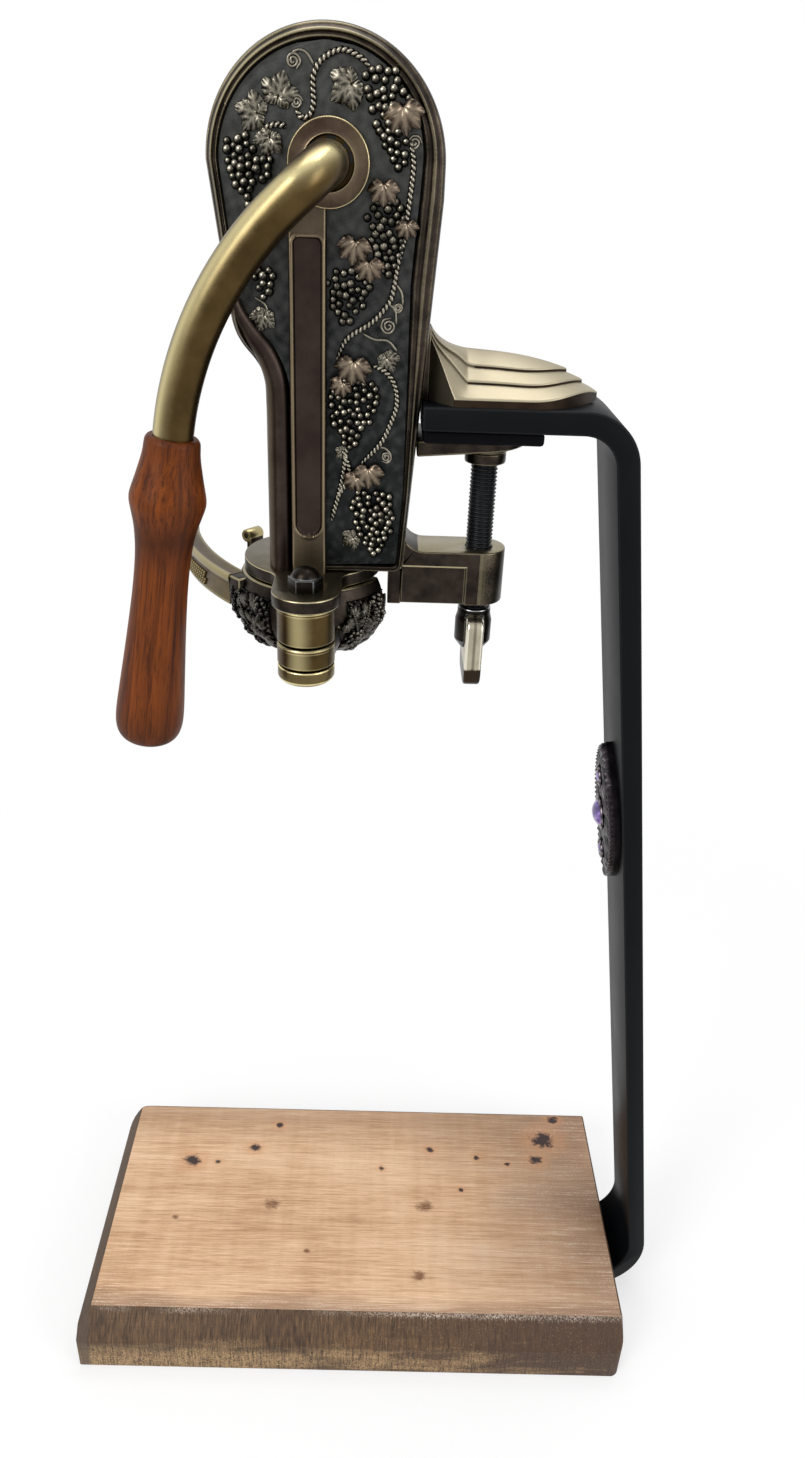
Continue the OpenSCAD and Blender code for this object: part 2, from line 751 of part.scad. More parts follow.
module wood_grip() {
    color(rosewood) at_grip() difference() {
        rotate_extrude($fn = 96) polygon(concat([[0, 0]],
            [for (p = grip_turning) [p[1] * grip_d / 2, -p[0] * grip_l]], [[0, -grip_l]]));
        translate([0, 0, -tang_l]) cylinder(d = tang_d, h = tang_l + 1);
        translate([0, 0, -grip_l - 1]) cylinder(r = bolt_head_r, h = bolt_head_h + 1);
        translate([0, 0, -grip_l]) cylinder(r = bolt_r, h = grip_l - tang_l);
    }
}

bolt_r = 2.5;
bolt_head_r = 4.5;
bolt_head_h = 4;
module grip_bolt() {
    color(steel) at_grip() translate([0, 0, -grip_l]) {
        cylinder(r = bolt_r, h = grip_l - tang_l);
        difference() {
            cylinder(r = bolt_head_r, h = bolt_head_h);
            translate([0, 0, -1]) cylinder(d = 4, h = 3, $fn = 6);
        }
    }
}

gear_y = 6;
gear_face = 8;
hub_y = rear_in_y - 2;
gear_pin_r = 1.5;
gear_pin_y = gear_y + gear_face + (hub_y - gear_y - gear_face) / 2;
gear_hub_r = 9.5;

module crank_shaft() {
    color(steel) at_shaft() difference() {
        bar_y(shaft_d / 2, rod_in_y - rod_socket, body_half_d + 5);
        translate([0, gear_pin_y, 0]) rotate([0, 90, 0]) cylinder(r = gear_pin_r, h = 40, center = true);
    }
}

// Involute gear drawing with a tooth at angle c
function roll(rb, r) = sqrt(max(0, pow(r / rb, 2) - 1)) * 180 / PI;
function involute(rb, r) = let (t = roll(rb, r)) t - atan(t * PI / 180);
function polar(r, a) = [r * cos(a), r * sin(a)];

module gear_drawing(teeth, c) {
    rp = gear_m * teeth / 2;
    rb = rp * cos(pressure_angle);
    root = rp - 1.25 * gear_m;
    tip = rp + 0.95 * gear_m;
    low = max(rb, root);
    radii = [for (n = [0:4]) low + (tip - low) * n / 4];
    half = 90 / teeth - backlash / 2 / rp * 180 / PI + involute(rb, rp);
    polygon([for (k = [0:teeth - 1], s = [-1, 1], n = [0:5])
        let (at = s < 0 ? n : 5 - n, r = at == 0 ? root : radii[at - 1])
        polar(r, c + 360 / teeth * k + s * (half - involute(rb, max(r, low))))]);
}

module drive_gear() {
    color(steel) at_shaft() difference() {
        union() {
            slab(gear_y, gear_y + gear_face) gear_drawing(drive_teeth, mesh_angle);
            bar_y(gear_hub_r, gear_y, hub_y);
        }
        bar_y(shaft_d / 2, gear_y - 1, hub_y + 1);
        translate([0, gear_pin_y, 0]) rotate([0, 90, 0]) cylinder(r = gear_pin_r, h = 40, center = true);
    }
}

module gear_pin() {
    color(steel) at_shaft() translate([0, gear_pin_y, 0]) rotate([0, 90, 0])
        cylinder(r = gear_pin_r, h = 2 * gear_hub_r - 1, center = true);
}

module shaft_retainer() {
    color(steel) at_shaft() difference() {
        bar_y(shaft_d * 0.9, body_half_d + 0.2, body_half_d + 4);
        bar_y(shaft_d / 2, body_half_d - 1, body_half_d + 5);
    }
}

rack_y0 = -8;
rack_y1 = 4;

module idler_pinion() {
    color(steel) translate([idler_x, 0, idler_z]) difference() {
        slab(rack_y0 - 1, gear_y + gear_face + 0.5) gear_drawing(idler_teeth, idler_phase);
        bar_y(idler_pin_r + run_gap, rack_y0 - 2, gear_y + gear_face + 2);
    }
}

worm_collar_r = 5.5;
rack_top = idler_z + stroke + 10;
rack_low = idler_z - 10;

// Rack teeth face the idler, with a space at rack_space_z
module rack_drawing() {
    add = 0.95 * gear_m;
    ded = 1.25 * gear_m;
    half = rack_pitch / 4 - backlash / 2;
    slope = tan(pressure_angle);
    first = ceil((rack_low - rack_space_z) / rack_pitch);
    last = floor((rack_top - rack_space_z) / rack_pitch) - 1;
    translate([axis_x - carrier_d, rack_low])
        square([rack_x - ded - axis_x + carrier_d, rack_top - rack_low]);
    for (k = [first:last]) translate([rack_x, rack_space_z + (k + 0.5) * rack_pitch])
        polygon([[-ded - 0.2, -half - ded * slope], [add, -half + add * slope],
            [add, half - add * slope], [-ded - 0.2, half + ded * slope]]);
}

module rack_carrier() {
    color(steel) {
        difference() {
            at_axis() translate([0, 0, carrier_z]) cylinder(d = carrier_d, h = carrier_top - carrier_z);
            at_axis() translate([0, 0, carrier_z - 1])
                cylinder(d = journal_d + 2 * run_gap, h = carrier_top - carrier_z + 2);
        }
        intersection() {
            at_axis() translate([0, 0, carrier_top - eps])
                cylinder(d = carrier_d, h = rack_top - carrier_top + 1);
            union() {
                slab(rack_y0, rack_y1) rack_drawing();
                translate([axis_x - carrier_d, rack_y0, carrier_top - eps])
                    cube([carrier_d - worm_collar_r - 1, rack_y1 - rack_y0, rack_low - carrier_top + 1]);
            }
        }
    }
}

// Height of the journal over the carrier, where the collar holds it
journal_over = 5;

// Worm: a wire of shrinking width wound round the axis, with a sharp end
coil_rings = 12;
coil_turns = (worm_top_z - worm_tip_z) / worm_lead;
coil_steps = ceil(coil_turns * coil_rings);
wire_sides = 6;

function coil_ring(n) =
    let (u = n / coil_steps, a = tip_angle + 360 * coil_turns * u,
        z = worm_tip_z + coil_turns * worm_lead * u,
        w = wire_d / 2 * min(1, 0.12 + n / coil_rings), tilt = atan2(worm_lead, 2 * PI * coil_r))
    [for (s = [0:wire_sides - 1])
        let (t = 360 * s / wire_sides, out = coil_r + w * cos(t), up = w * sin(t))
        [out * cos(a) + up * sin(tilt) * sin(a), out * sin(a) - up * sin(tilt) * cos(a), z + up * cos(tilt)]];

module worm() {
    points = [for (n = [0:coil_steps]) each coil_ring(n)];
    w = wire_sides;
    last = coil_steps * w;
    sides = [for (n = [0:coil_steps - 1], s = [0:w - 1]) let (a = n * w + s, b = n * w + (s + 1) % w)
        each [[a, b + w, a + w], [a, b, b + w]]];
    start_cap = [for (s = [1:w - 2]) [0, s + 1, s]];
    end_cap = [for (s = [1:w - 2]) [last, last + s, last + s + 1]];
    color(steel) at_axis() {
        polyhedron(points, concat(sides, start_cap, end_cap));
        translate([0, 0, carrier_z - washer_t - collar_h]) cylinder(d = worm_d + 0.4, h = collar_h);
        translate([0, 0, carrier_z - washer_t - eps])
            cylinder(d = journal_d, h = carrier_h + washer_t + journal_over);
    }
}

module thrust_washer() {
    color(brass) at_axis() translate([0, 0, carrier_z - washer_t])
        ring(8, journal_d / 2, washer_t - run_gap);
}

module worm_collar() {
    color(steel) at_axis() translate([0, 0, carrier_top + run_gap]) ring(worm_collar_r, journal_d / 2, 4);
}

// Bulged band of a jaw, turned about the bottle's axis from angle a by turn
module jaw_band(a, turn) {
    bulge_r = 24;
    bulge_z = jaw_z + 0.62 * jaw_h;
    rotate([0, 0, a]) rotate_extrude(angle = turn, $fn = 96) intersection() {
        translate([jaw_in_r, jaw_z]) square([jaw_out_r - jaw_in_r, jaw_h]);
        translate([jaw_out_r - bulge_r, bulge_z]) circle(r = bulge_r);
    }
}

module jaw_liner(a, turn) {
    at_axis() rotate([0, 0, a]) rotate_extrude(angle = turn, $fn = 96)
        translate([jaw_in_r - liner_t, jaw_z + 4]) square([liner_t, jaw_h - 8]);
}

knuckle_high_h = flange_z - 0.2 - knuckle_high_z;
web_w = 9;

// Web from the knuckle to the band's front end, side -1 left or 1 right
module jaw_web(side, z, h) {
    mid_r = (jaw_in_r + jaw_out_r) / 2 - 2;
    spot = [side * mid_r * sin(jaw_gap_angle + 8), -mid_r * cos(jaw_gap_angle + 8)];
    from = [side * knuckle_d * 0.28, pin_y];
    run = spot - from;
    translate([from[0], from[1], z]) rotate([0, 0, atan2(run[1], run[0])])
        translate([0, -web_w / 2, 0]) cube([norm(run), web_w, h]);
}

module jaw_bore() {
    at_pin() translate([0, 0, jaw_z - 1]) cylinder(d = pin_d + 2 * run_gap, h = jaw_h + 10);
}

left_end = 172;
// Handle: a band bent to the back, [middle of the bend] and radius of its outer face
handle_c = [73, 85];
handle_r = 146;
handle_t = 8;
handle_from = 224;
handle_to = 186;
handle_drop = 16;
handle_z = flange_z - handle_drop;
handle_h = 14;

module handle() {
    translate([handle_c[0], handle_c[1], handle_z]) {
        rotate([0, 0, handle_to]) rotate_extrude(angle = handle_from - handle_to, $fn = 128)
            translate([handle_r - handle_t, 0]) square([handle_t, handle_h]);
        rotate([0, 0, handle_to]) translate([handle_r - handle_t / 2, 0, 0])
            cylinder(d = handle_t, h = handle_h);
    }
}

module left_jaw() {
    color(brass) difference() {
        at_axis() {
            jaw_band(left_end, 270 - jaw_gap_angle - left_end);
            translate([0, pin_y, knuckle_high_z]) cylinder(d = knuckle_d, h = knuckle_high_h);
            jaw_web(-1, knuckle_high_z, knuckle_high_h - 0.3);
            difference() {
                handle();
                cylinder(r = jaw_in_r + 1, h = flange_top);
            }
        }
        jaw_bore();
    }
}

module left_liner() {
    color(black) jaw_liner(left_end + 8, 75 - jaw_gap_angle);
}

right_turn = 55;
tail_end = 142;
tab_w = 9;
tab_t = 3;
tab_rise = 4;
tab_top = flange_z + tab_rise;

// Tail of the right jaw passes behind the bottle and ends in an upright thumb tab with a rolled edge
module right_jaw() {
    tail_r = jaw_in_r + 7;
    tab_r = jaw_out_r + 8;
    color(brass) difference() {
        at_axis() {
            jaw_band(270 + jaw_gap_angle, right_turn);
            rotate([0, 0, -right_turn / 2]) rotate_extrude(angle = tail_end + right_turn / 2, $fn = 96)
                translate([jaw_in_r + 1, knuckle_low_z]) square([tail_r - jaw_in_r - 1, 12]);
            rotate([0, 0, tail_end]) {
                translate([jaw_in_r + 1, -tab_w, knuckle_low_z])
                    cube([tab_r - jaw_in_r - 1, tab_w, tab_t]);
                translate([tab_r - tab_t, -tab_w, knuckle_low_z])
                    cube([tab_t, tab_w, tab_top - knuckle_low_z]);
                translate([tab_r, 0, tab_top]) rotate([90, 0, 0]) cylinder(r = tab_t, h = tab_w, $fn = 32);
            }
            translate([0, pin_y, knuckle_low_z]) cylinder(d = knuckle_d, h = knuckle_low_h);
            jaw_web(1, knuckle_low_z, knuckle_low_h);
        }
        jaw_bore();
    }
}

module right_liner() {
    color(black) jaw_liner(270 + jaw_gap_angle + 7, right_turn - 14);
}

plate_left = 18.5;
plate_right = 66;
plate_half_w = 17;
pad_left = 20.5;
pad_right = 71;
pad_half_w = 22;

// Sliding plate with a rounded nose, thinner to the right, and a boss over the swivel
plate_nose_t = 3;
module clamp_plate() {
    nose_r = plate_right - screw_x;
    color(bronze) difference() {
        union() {
            intersection() {
                translate([0, 0, plate_z]) linear_extrude(plate_t) {
                    translate([screw_x, 0]) circle(r = nose_r);
                    translate([plate_left, -plate_half_w]) square([screw_x - plate_left, 2 * plate_half_w]);
                }
                slab(-plate_half_w - 1, plate_half_w + 1) polygon([[plate_left - 1, plate_z],
                    [plate_left - 1, pad_z], [plate_right + 1, pad_z],
                    [plate_right + 1, pad_z - plate_nose_t]]);
            }
            translate([screw_x, 0, plate_z]) cylinder(d = screw_d * 1.6, h = plate_t - 1);
        }
        translate([screw_x, 0, plate_z - 1]) cylinder(d = pivot_d + 2 * run_gap, h = pivot_h + 1);
    }
}

module clamp_pad() {
    color(black) translate([0, 0, pad_z]) linear_extrude(pad_t)
        translate([pad_left, -pad_half_w]) square([pad_right - pad_left, 2 * pad_half_w]);
}

pivot_d = 8;
pivot_h = 5;
thread_depth = 0.8;
thread_low = hub_z + hub_h + 1;
thread_turns = floor((swivel_z - thread_low - 1) / screw_pitch);

// Threaded rod as a turned profile, with a plain pivot that ends in the plate
module clamp_screw() {
    r = screw_d / 2;
    color(black) translate([screw_x, 0, 0]) {
        rotate_extrude() polygon(concat(
            [[0, hub_z + 2], [r - thread_depth, hub_z + 2], [r - thread_depth, thread_low]],
            [for (n = [0:thread_turns - 1]) each [[r, thread_low + (n + 0.5) * screw_pitch],
                [r - thread_depth, thread_low + (n + 1) * screw_pitch]]],
            [[r - thread_depth, swivel_z], [0, swivel_z]]));
        translate([0, 0, swivel_z - eps]) cylinder(d = pivot_d, h = swivel_h + pivot_h);
    }
}

module swivel_washer() {
    color(bronze) translate([screw_x, 0, swivel_z]) ring(screw_d * 0.75, pivot_d / 2, swivel_h - run_gap);
}

hub_r = 8.5;
wing_t = 8;
wing_half = 15;
wing_tip_r = 7;
wing_top = 14;
wing_top_r = 5;

module wing_hub() {
    color(bronze) translate([screw_x, 0, hub_z]) difference() {
        rotate_extrude() polygon([[0, -4], [hub_r * 0.62, -4], [hub_r, 0], [hub_r, hub_h * 0.6],
            [hub_r * 0.9, hub_h * 0.8], [hub_r * 0.9, hub_h], [0, hub_h]]);
        translate([0, 0, 2]) cylinder(r = screw_d / 2 - thread_depth, h = hub_h);
        wing_blank(wing_t);
    }
}

// Blade of the wing, seen edge on from the front
module wing_blank(t) {
    translate([-t / 2, 0, 0]) rotate([90, 0, 90]) linear_extrude(t) hull() {
        for (side = [-1, 1]) translate([side * (wing_half - wing_tip_r), wing_tip_r - wing_drop])
            circle(r = wing_tip_r, $fn = 32);
        for (side = [-1, 1]) translate([side * (wing_half - wing_top_r), wing_top - wing_top_r])
            circle(r = wing_top_r, $fn = 32);
    }
}

module thumb_wing() {
    color(brass) translate([screw_x, 0, hub_z]) difference() {
        wing_blank(wing_t);
        translate([0, 0, 2]) cylinder(r = screw_d / 2 - thread_depth, h = hub_h);
    }
}

base_board();
stand_bar();
wood_screws();
badge_plate();
badge_stones();
main_body();
clamp_foot();
front_cover();
centre_rail();
cover_screws();
boss_ring();
front_bush();
rear_bush();
idler_pin();
worm_nut();
guide_pins();
bottle_bell();
hinge_pin();
acorn_nut();
pin_cap();
lever_arm();
wood_grip();
grip_bolt();
crank_shaft();
drive_gear();
gear_pin();
shaft_retainer();
idler_pinion();
rack_carrier();
worm();
thrust_washer();
worm_collar();
left_jaw();
left_liner();
right_jaw();
right_liner();
clamp_plate();
clamp_pad();
clamp_screw();
swivel_washer();
wing_hub();
thumb_wing();
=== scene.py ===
from functools import partialmethod
import bpy
import bmesh
import numpy as np
from mathutils import Matrix


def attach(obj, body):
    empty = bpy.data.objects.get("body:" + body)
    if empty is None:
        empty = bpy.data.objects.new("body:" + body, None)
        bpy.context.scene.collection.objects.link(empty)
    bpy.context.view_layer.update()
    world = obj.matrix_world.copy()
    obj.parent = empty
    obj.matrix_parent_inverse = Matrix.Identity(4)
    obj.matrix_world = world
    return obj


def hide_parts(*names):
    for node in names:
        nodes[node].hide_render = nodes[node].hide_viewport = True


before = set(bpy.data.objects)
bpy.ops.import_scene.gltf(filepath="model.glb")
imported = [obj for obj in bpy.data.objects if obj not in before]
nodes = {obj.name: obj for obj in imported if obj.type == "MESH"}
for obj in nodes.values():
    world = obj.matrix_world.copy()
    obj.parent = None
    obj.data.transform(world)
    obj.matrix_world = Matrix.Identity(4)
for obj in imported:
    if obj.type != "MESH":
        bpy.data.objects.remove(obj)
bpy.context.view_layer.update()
mm = 0.001
print("frame loaded:", len(nodes), "CAD nodes")


# A screen colour 0..255 as the linear colour that renders like it
def tint(r, g, b):
    c = np.array([r, g, b]) / 255
    linear = np.where(c < 0.04045, c / 12.92, ((c + 0.055) / 1.055) ** 2.4)
    return (*linear.tolist(), 1.0)


# 0 at start, 1 at end, straight between and level outside
def between(value, start, end):
    return np.clip((value - start) / (end - start), 0, 1)


# exp(-x^2): the hump behind ridges, streaks and glints
def hump(x):
    return np.exp(-x ** 2)


# Points of three coordinates that broadcast to one shape
def xyz(x, y, z):
    return np.stack(np.broadcast_arrays(x, y, z), -1)


# Points at a reach and an angle round an upright axis at a centre (x, y)
def around(centre, reach, angle, z):
    return xyz(centre[0] + reach * np.cos(angle), centre[1] + reach * np.sin(angle), z)


# A new object at the origin, in the scene
def linked(name, data):
    made = bpy.data.objects.new(name, data)
    bpy.context.scene.collection.objects.link(made)
    return made


# A shader socket that can be added, multiplied and so on; each operation is one Math node
class Wire:
    def __init__(self, finish, socket):
        self.finish = finish
        self.socket = socket

    # a Math node of this wire and another value, or of the two the other way round
    def math(self, other, operation, back=False):
        a, b = (other, self) if back else (self, other)
        return self.finish.node("ShaderNodeMath", {"operation": operation}, {0: a, 1: b})

    __add__ = partialmethod(math, operation="ADD")
    __radd__ = partialmethod(math, operation="ADD", back=True)
    __sub__ = partialmethod(math, operation="SUBTRACT")
    __rsub__ = partialmethod(math, operation="SUBTRACT", back=True)
    __mul__ = partialmethod(math, operation="MULTIPLY")
    __rmul__ = partialmethod(math, operation="MULTIPLY", back=True)
    __truediv__ = partialmethod(math, operation="DIVIDE")
    __rtruediv__ = partialmethod(math, operation="DIVIDE", back=True)
    top = partialmethod(math, operation="MAXIMUM")
    low = partialmethod(math, operation="MINIMUM")

    def __abs__(self):
        return self.math(0.0, "ABSOLUTE")

    # 0 below a, 1 above b, straight between
    def span(self, a, b):
        return self.finish.node("ShaderNodeMapRange", {"clamp": True}, {0: self, 1: a, 2: b, 3: 0.0, 4: 1.0})


# The nodes of a new material, or of the owner given; node() makes any node from its type, settings and inputs
class Finish:
    def __init__(self, name, owner=None):
        self.owner = owner or bpy.data.materials.new(name)
        self.owner.use_nodes = True
        self.tree = self.owner.node_tree
        self.tree.nodes.clear()
        self.place = None if owner else self.node("ShaderNodeTexCoord", out="Object")

    def node(self, kind, settings=None, inputs=None, out=0):
        made = self.tree.nodes.new(kind)
        for key, value in (settings or {}).items():
            if key == "stops":
                ramp = made.color_ramp
                while len(ramp.elements) < len(value):
                    ramp.elements.new(0.5)
                for element, (spot, colour) in zip(ramp.elements, value):
                    element.position = spot
                    element.color = colour
            else:
                setattr(made, key, value)
        for key, value in (inputs or {}).items():
            if isinstance(value, Wire):
                self.tree.links.new(value.socket, made.inputs[key])
            else:
                made.inputs[key].default_value = value
        return Wire(self, made.outputs[out]) if len(made.outputs) else None

    # Object coordinates in units of size (x, y, z in mm), turned by angles first
    def scaled(self, size, turn):
        turned = self.node("ShaderNodeMapping", None, {"Vector": self.place, "Rotation": turn})
        share = tuple(1 / mm / s for s in size)
        return self.node("ShaderNodeMapping", None, {"Vector": turned, "Scale": share})

    def noise(self, size, detail=3.0, rough=0.55, bend=0.0, turn=(0, 0, 0)):
        return self.node("ShaderNodeTexNoise", None,
                         {"Vector": self.scaled(size, turn), "Scale": 1.0, "Detail": detail,
                          "Roughness": rough, "Distortion": bend})

    def attribute(self, name):
        return self.node("ShaderNodeAttribute", {"attribute_name": name}, out="Fac")

    def axis(self, index):
        return self.node("ShaderNodeSeparateXYZ", None, {0: self.place}, out=index)

    def mix(self, share, a, b):
        return self.node("ShaderNodeMix", {"data_type": "RGBA"}, {0: share, 6: a, 7: b}, out=2)

    def ramp(self, value, stops):
        return self.node("ShaderNodeValToRGB", {"stops": stops}, {0: value})

    # bumps of a height in mm
    def bump(self, height, depth, strength):
        return self.node("ShaderNodeBump", None,
                         {"Height": height, "Distance": depth * mm, "Strength": strength})

    def show(self, shader, output="ShaderNodeOutputMaterial"):
        self.node(output, None, {"Surface": shader})
        return self.owner

    def done(self, inputs):
        return self.show(self.node("ShaderNodeBsdfPrincipled", None, inputs))


# Cast metal of three shades: dark and mid in clouds, bright where the rub-and-sheen attribute is high, partly
# wear and partly painted highlight; end adds a casting seam along the middle and painted shade on the
# down-facing low end
def castMetal(name, shades, rough=0.38, grain=0.05, cloud=9.0, speckle=0.22, end=None):
    f = Finish(name)
    dark, mid, bright = (tint(*shade) for shade in shades)
    rub = f.attribute("rub")
    mottle = f.noise((cloud, cloud, cloud), 4.0, 0.6)
    fine = f.noise((0.7, 0.7, 0.7), 3.0, 0.6)
    body = f.mix(mottle.span(0.36, 0.66), dark, mid)
    wearAndSheen = (rub + (fine - 0.5) * speckle + (mottle - 0.5) * 0.12).span(0.06, 0.95)
    colour = f.mix(wearAndSheen, body, bright)
    # the seam, and painted shade on the low end, which faces down
    if end:
        seam = abs(f.axis(0) - end["x"] * mm).span(0.0009, 0.0004)
        low = (f.axis(2) + (mottle - 0.5) * 0.004).span(end["high"] * mm, end["low"] * mm)
        colour = f.mix(seam * 0.55, colour, end["colour"])
        colour = f.mix(low, colour, end["colour"])
    return f.done({"Base Color": colour, "Metallic": 1.0,
                   "Roughness": rough + (fine - 0.5) * 0.16 - wearAndSheen * 0.08,
                   "Normal": f.bump(fine, grain, 0.5)})


castLook = {
    "bronze": {"name": "bronze", "shades": [(38, 33, 30), (60, 52, 46), (196, 184, 148)]},
    "rail": {"name": "rail_bronze", "shades": [(50, 41, 38), (62, 52, 47), (156, 140, 112)],
             "cloud": 14.0, "speckle": 0.12},
    "panel": {"name": "dark_panel", "shades": [(28, 30, 30), (44, 46, 46), (106, 105, 102)],
              "rough": 0.44, "grain": 0.1},
    "relief": {"name": "relief", "shades": [(20, 19, 17), (44, 42, 38), (202, 194, 174)],
               "rough": 0.32, "grain": 0.04},
    "jaws": {"name": "jaw_relief", "shades": [(14, 13, 12), (32, 30, 28), (142, 137, 126)],
             "rough": 0.34, "grain": 0.04},
    "copper": {"name": "copper_relief", "shades": [(26, 20, 18), (56, 46, 40), (192, 174, 150)],
               "rough": 0.32, "grain": 0.04},
    "brass": {"name": "satin_brass", "shades": [(62, 49, 28), (88, 71, 42), (222, 208, 156)],
              "rough": 0.34, "grain": 0.01, "cloud": 26.0, "speckle": 0.05},
    "ring": {"name": "ring_brass", "shades": [(66, 52, 44), (94, 80, 66), (214, 198, 156)],
             "rough": 0.34, "grain": 0.01, "cloud": 16.0, "speckle": 0.08},
    # pale: on the foot its bright shade on the petal tops is partly painted highlight
    "pale": {"name": "pale_brass", "shades": [(38, 30, 24), (56, 45, 36), (162, 153, 131)],
             "rough": 0.54, "grain": 0.01, "cloud": 12.0, "speckle": 0.06},
    # hub: its bright shade is pale and cool, a painted reflection on the hub's sloping top
    "hub": {"name": "dark_metal", "shades": [(26, 23, 20), (42, 37, 32), (168, 172, 174)],
            "rough": 0.34, "grain": 0.04},
    "pewter": {"name": "badge_metal", "shades": [(13, 11, 13), (30, 26, 29), (134, 126, 132)], "rough": 0.34},
    # wing: its end colour is painted shade on the low end, which faces down
    "wing": {"name": "wing_brass", "shades": [(128, 120, 98), (166, 158, 132), (226, 220, 202)],
             "rough": 0.36, "grain": 0.01, "speckle": 0.1,
             "end": {"x": 49.0, "low": 444.5, "high": 445.5, "colour": tint(52, 44, 34)}},
}
cast = {key: castMetal(**look) for key, look in castLook.items()}


# Oiled steel for the parts inside, with fine turning marks
def plainSteel():
    f = Finish("plain_steel")
    fine = f.noise((0.5, 0.5, 3.0))
    blot = f.noise((8, 8, 8))
    colour = f.mix(blot.span(0.3, 0.7), tint(120, 121, 122), tint(160, 161, 163))
    return f.done({"Base Color": colour, "Metallic": 1.0, "Roughness": 0.28 + fine * 0.2})


# Black satin paint: brush-fine grain, a little dust and rubbed edges
def blackPaint(name, base, edge, rough, grainDepth, shine):
    f = Finish(name)
    rub = f.attribute("rub")
    grain = f.noise((0.8, 0.8, 0.8), 4.0, 0.65)
    cloud = f.noise((30, 30, 45))
    colour = f.mix((rub * 0.8 + (grain - 0.5) * 0.4).span(0.3, 1.0), base, edge)
    colour = f.mix(cloud.span(0.4, 0.75) * 0.2, colour, edge)
    return f.done({"Base Color": colour, "Roughness": rough + (grain - 0.5) * 0.18 + (cloud - 0.5) * 0.12,
                   "Specular IOR Level": shine, "Normal": f.bump(grain, grainDepth, 0.6)})


blackLook = {
    "bar": {"name": "black_steel", "base": tint(8, 10, 13), "edge": tint(24, 26, 28),
            "rough": 0.46, "grainDepth": 0.03, "shine": 0.08},
    "screw": {"name": "black_screw", "base": tint(8, 10, 12), "edge": tint(52, 54, 56),
              "rough": 0.36, "grainDepth": 0.02, "shine": 0.2},
    "rubber": {"name": "rubber", "base": tint(4, 4, 7), "edge": tint(10, 10, 13),
               "rough": 0.66, "grainDepth": 0.08, "shine": 0.06},
}
black = {key: blackPaint(**look) for key, look in blackLook.items()}

boardLook = {
    "deep": tint(168, 129, 95), "tan": tint(194, 155, 119), "pale": tint(212, 174, 139),
    "light": tint(230, 196, 162), "stain": tint(112, 85, 59), "stainDark": tint(48, 35, 27),
    "gold": tint(182, 150, 108), "grey": tint(80, 68, 58), "char": tint(126, 100, 84),
    "ash": tint(232, 214, 196), "right": tint(64, 46, 37), "knot": tint(34, 27, 34),
    "knotBrown": tint(104, 62, 36), "halo": tint(202, 146, 104),
    # dark knots and brown marks on the top: x, y, radius in mm; they are drawn out along the grain
    "knots": [(-114.5, 36.2, 5.4), (-72.1, 47.3, 3.4), (-56.4, 67.5, 2.4), (132, 59.8, 7.6),
              (124.9, 42.8, 4.4), (141.6, 77.7, 3.6), (51.3, 49.1, 2.6), (-96.3, 35, 1.9),
              (16.8, 33.2, 1.9), (83.4, 43.3, 2.0), (104.8, 38.9, 1.8), (71.4, 17.2, 1.7)],
    "marks": [(46.5, 3.6, 4.6), (41.3, -45.2, 3.6), (-55, 3.2, 4.6), (-118, -8, 2.0), (-30, -30, 1.8)],
    "drawn": 0.8, "half": (165.0, 82.5), "chamfer": (7.0, 14.0),
}
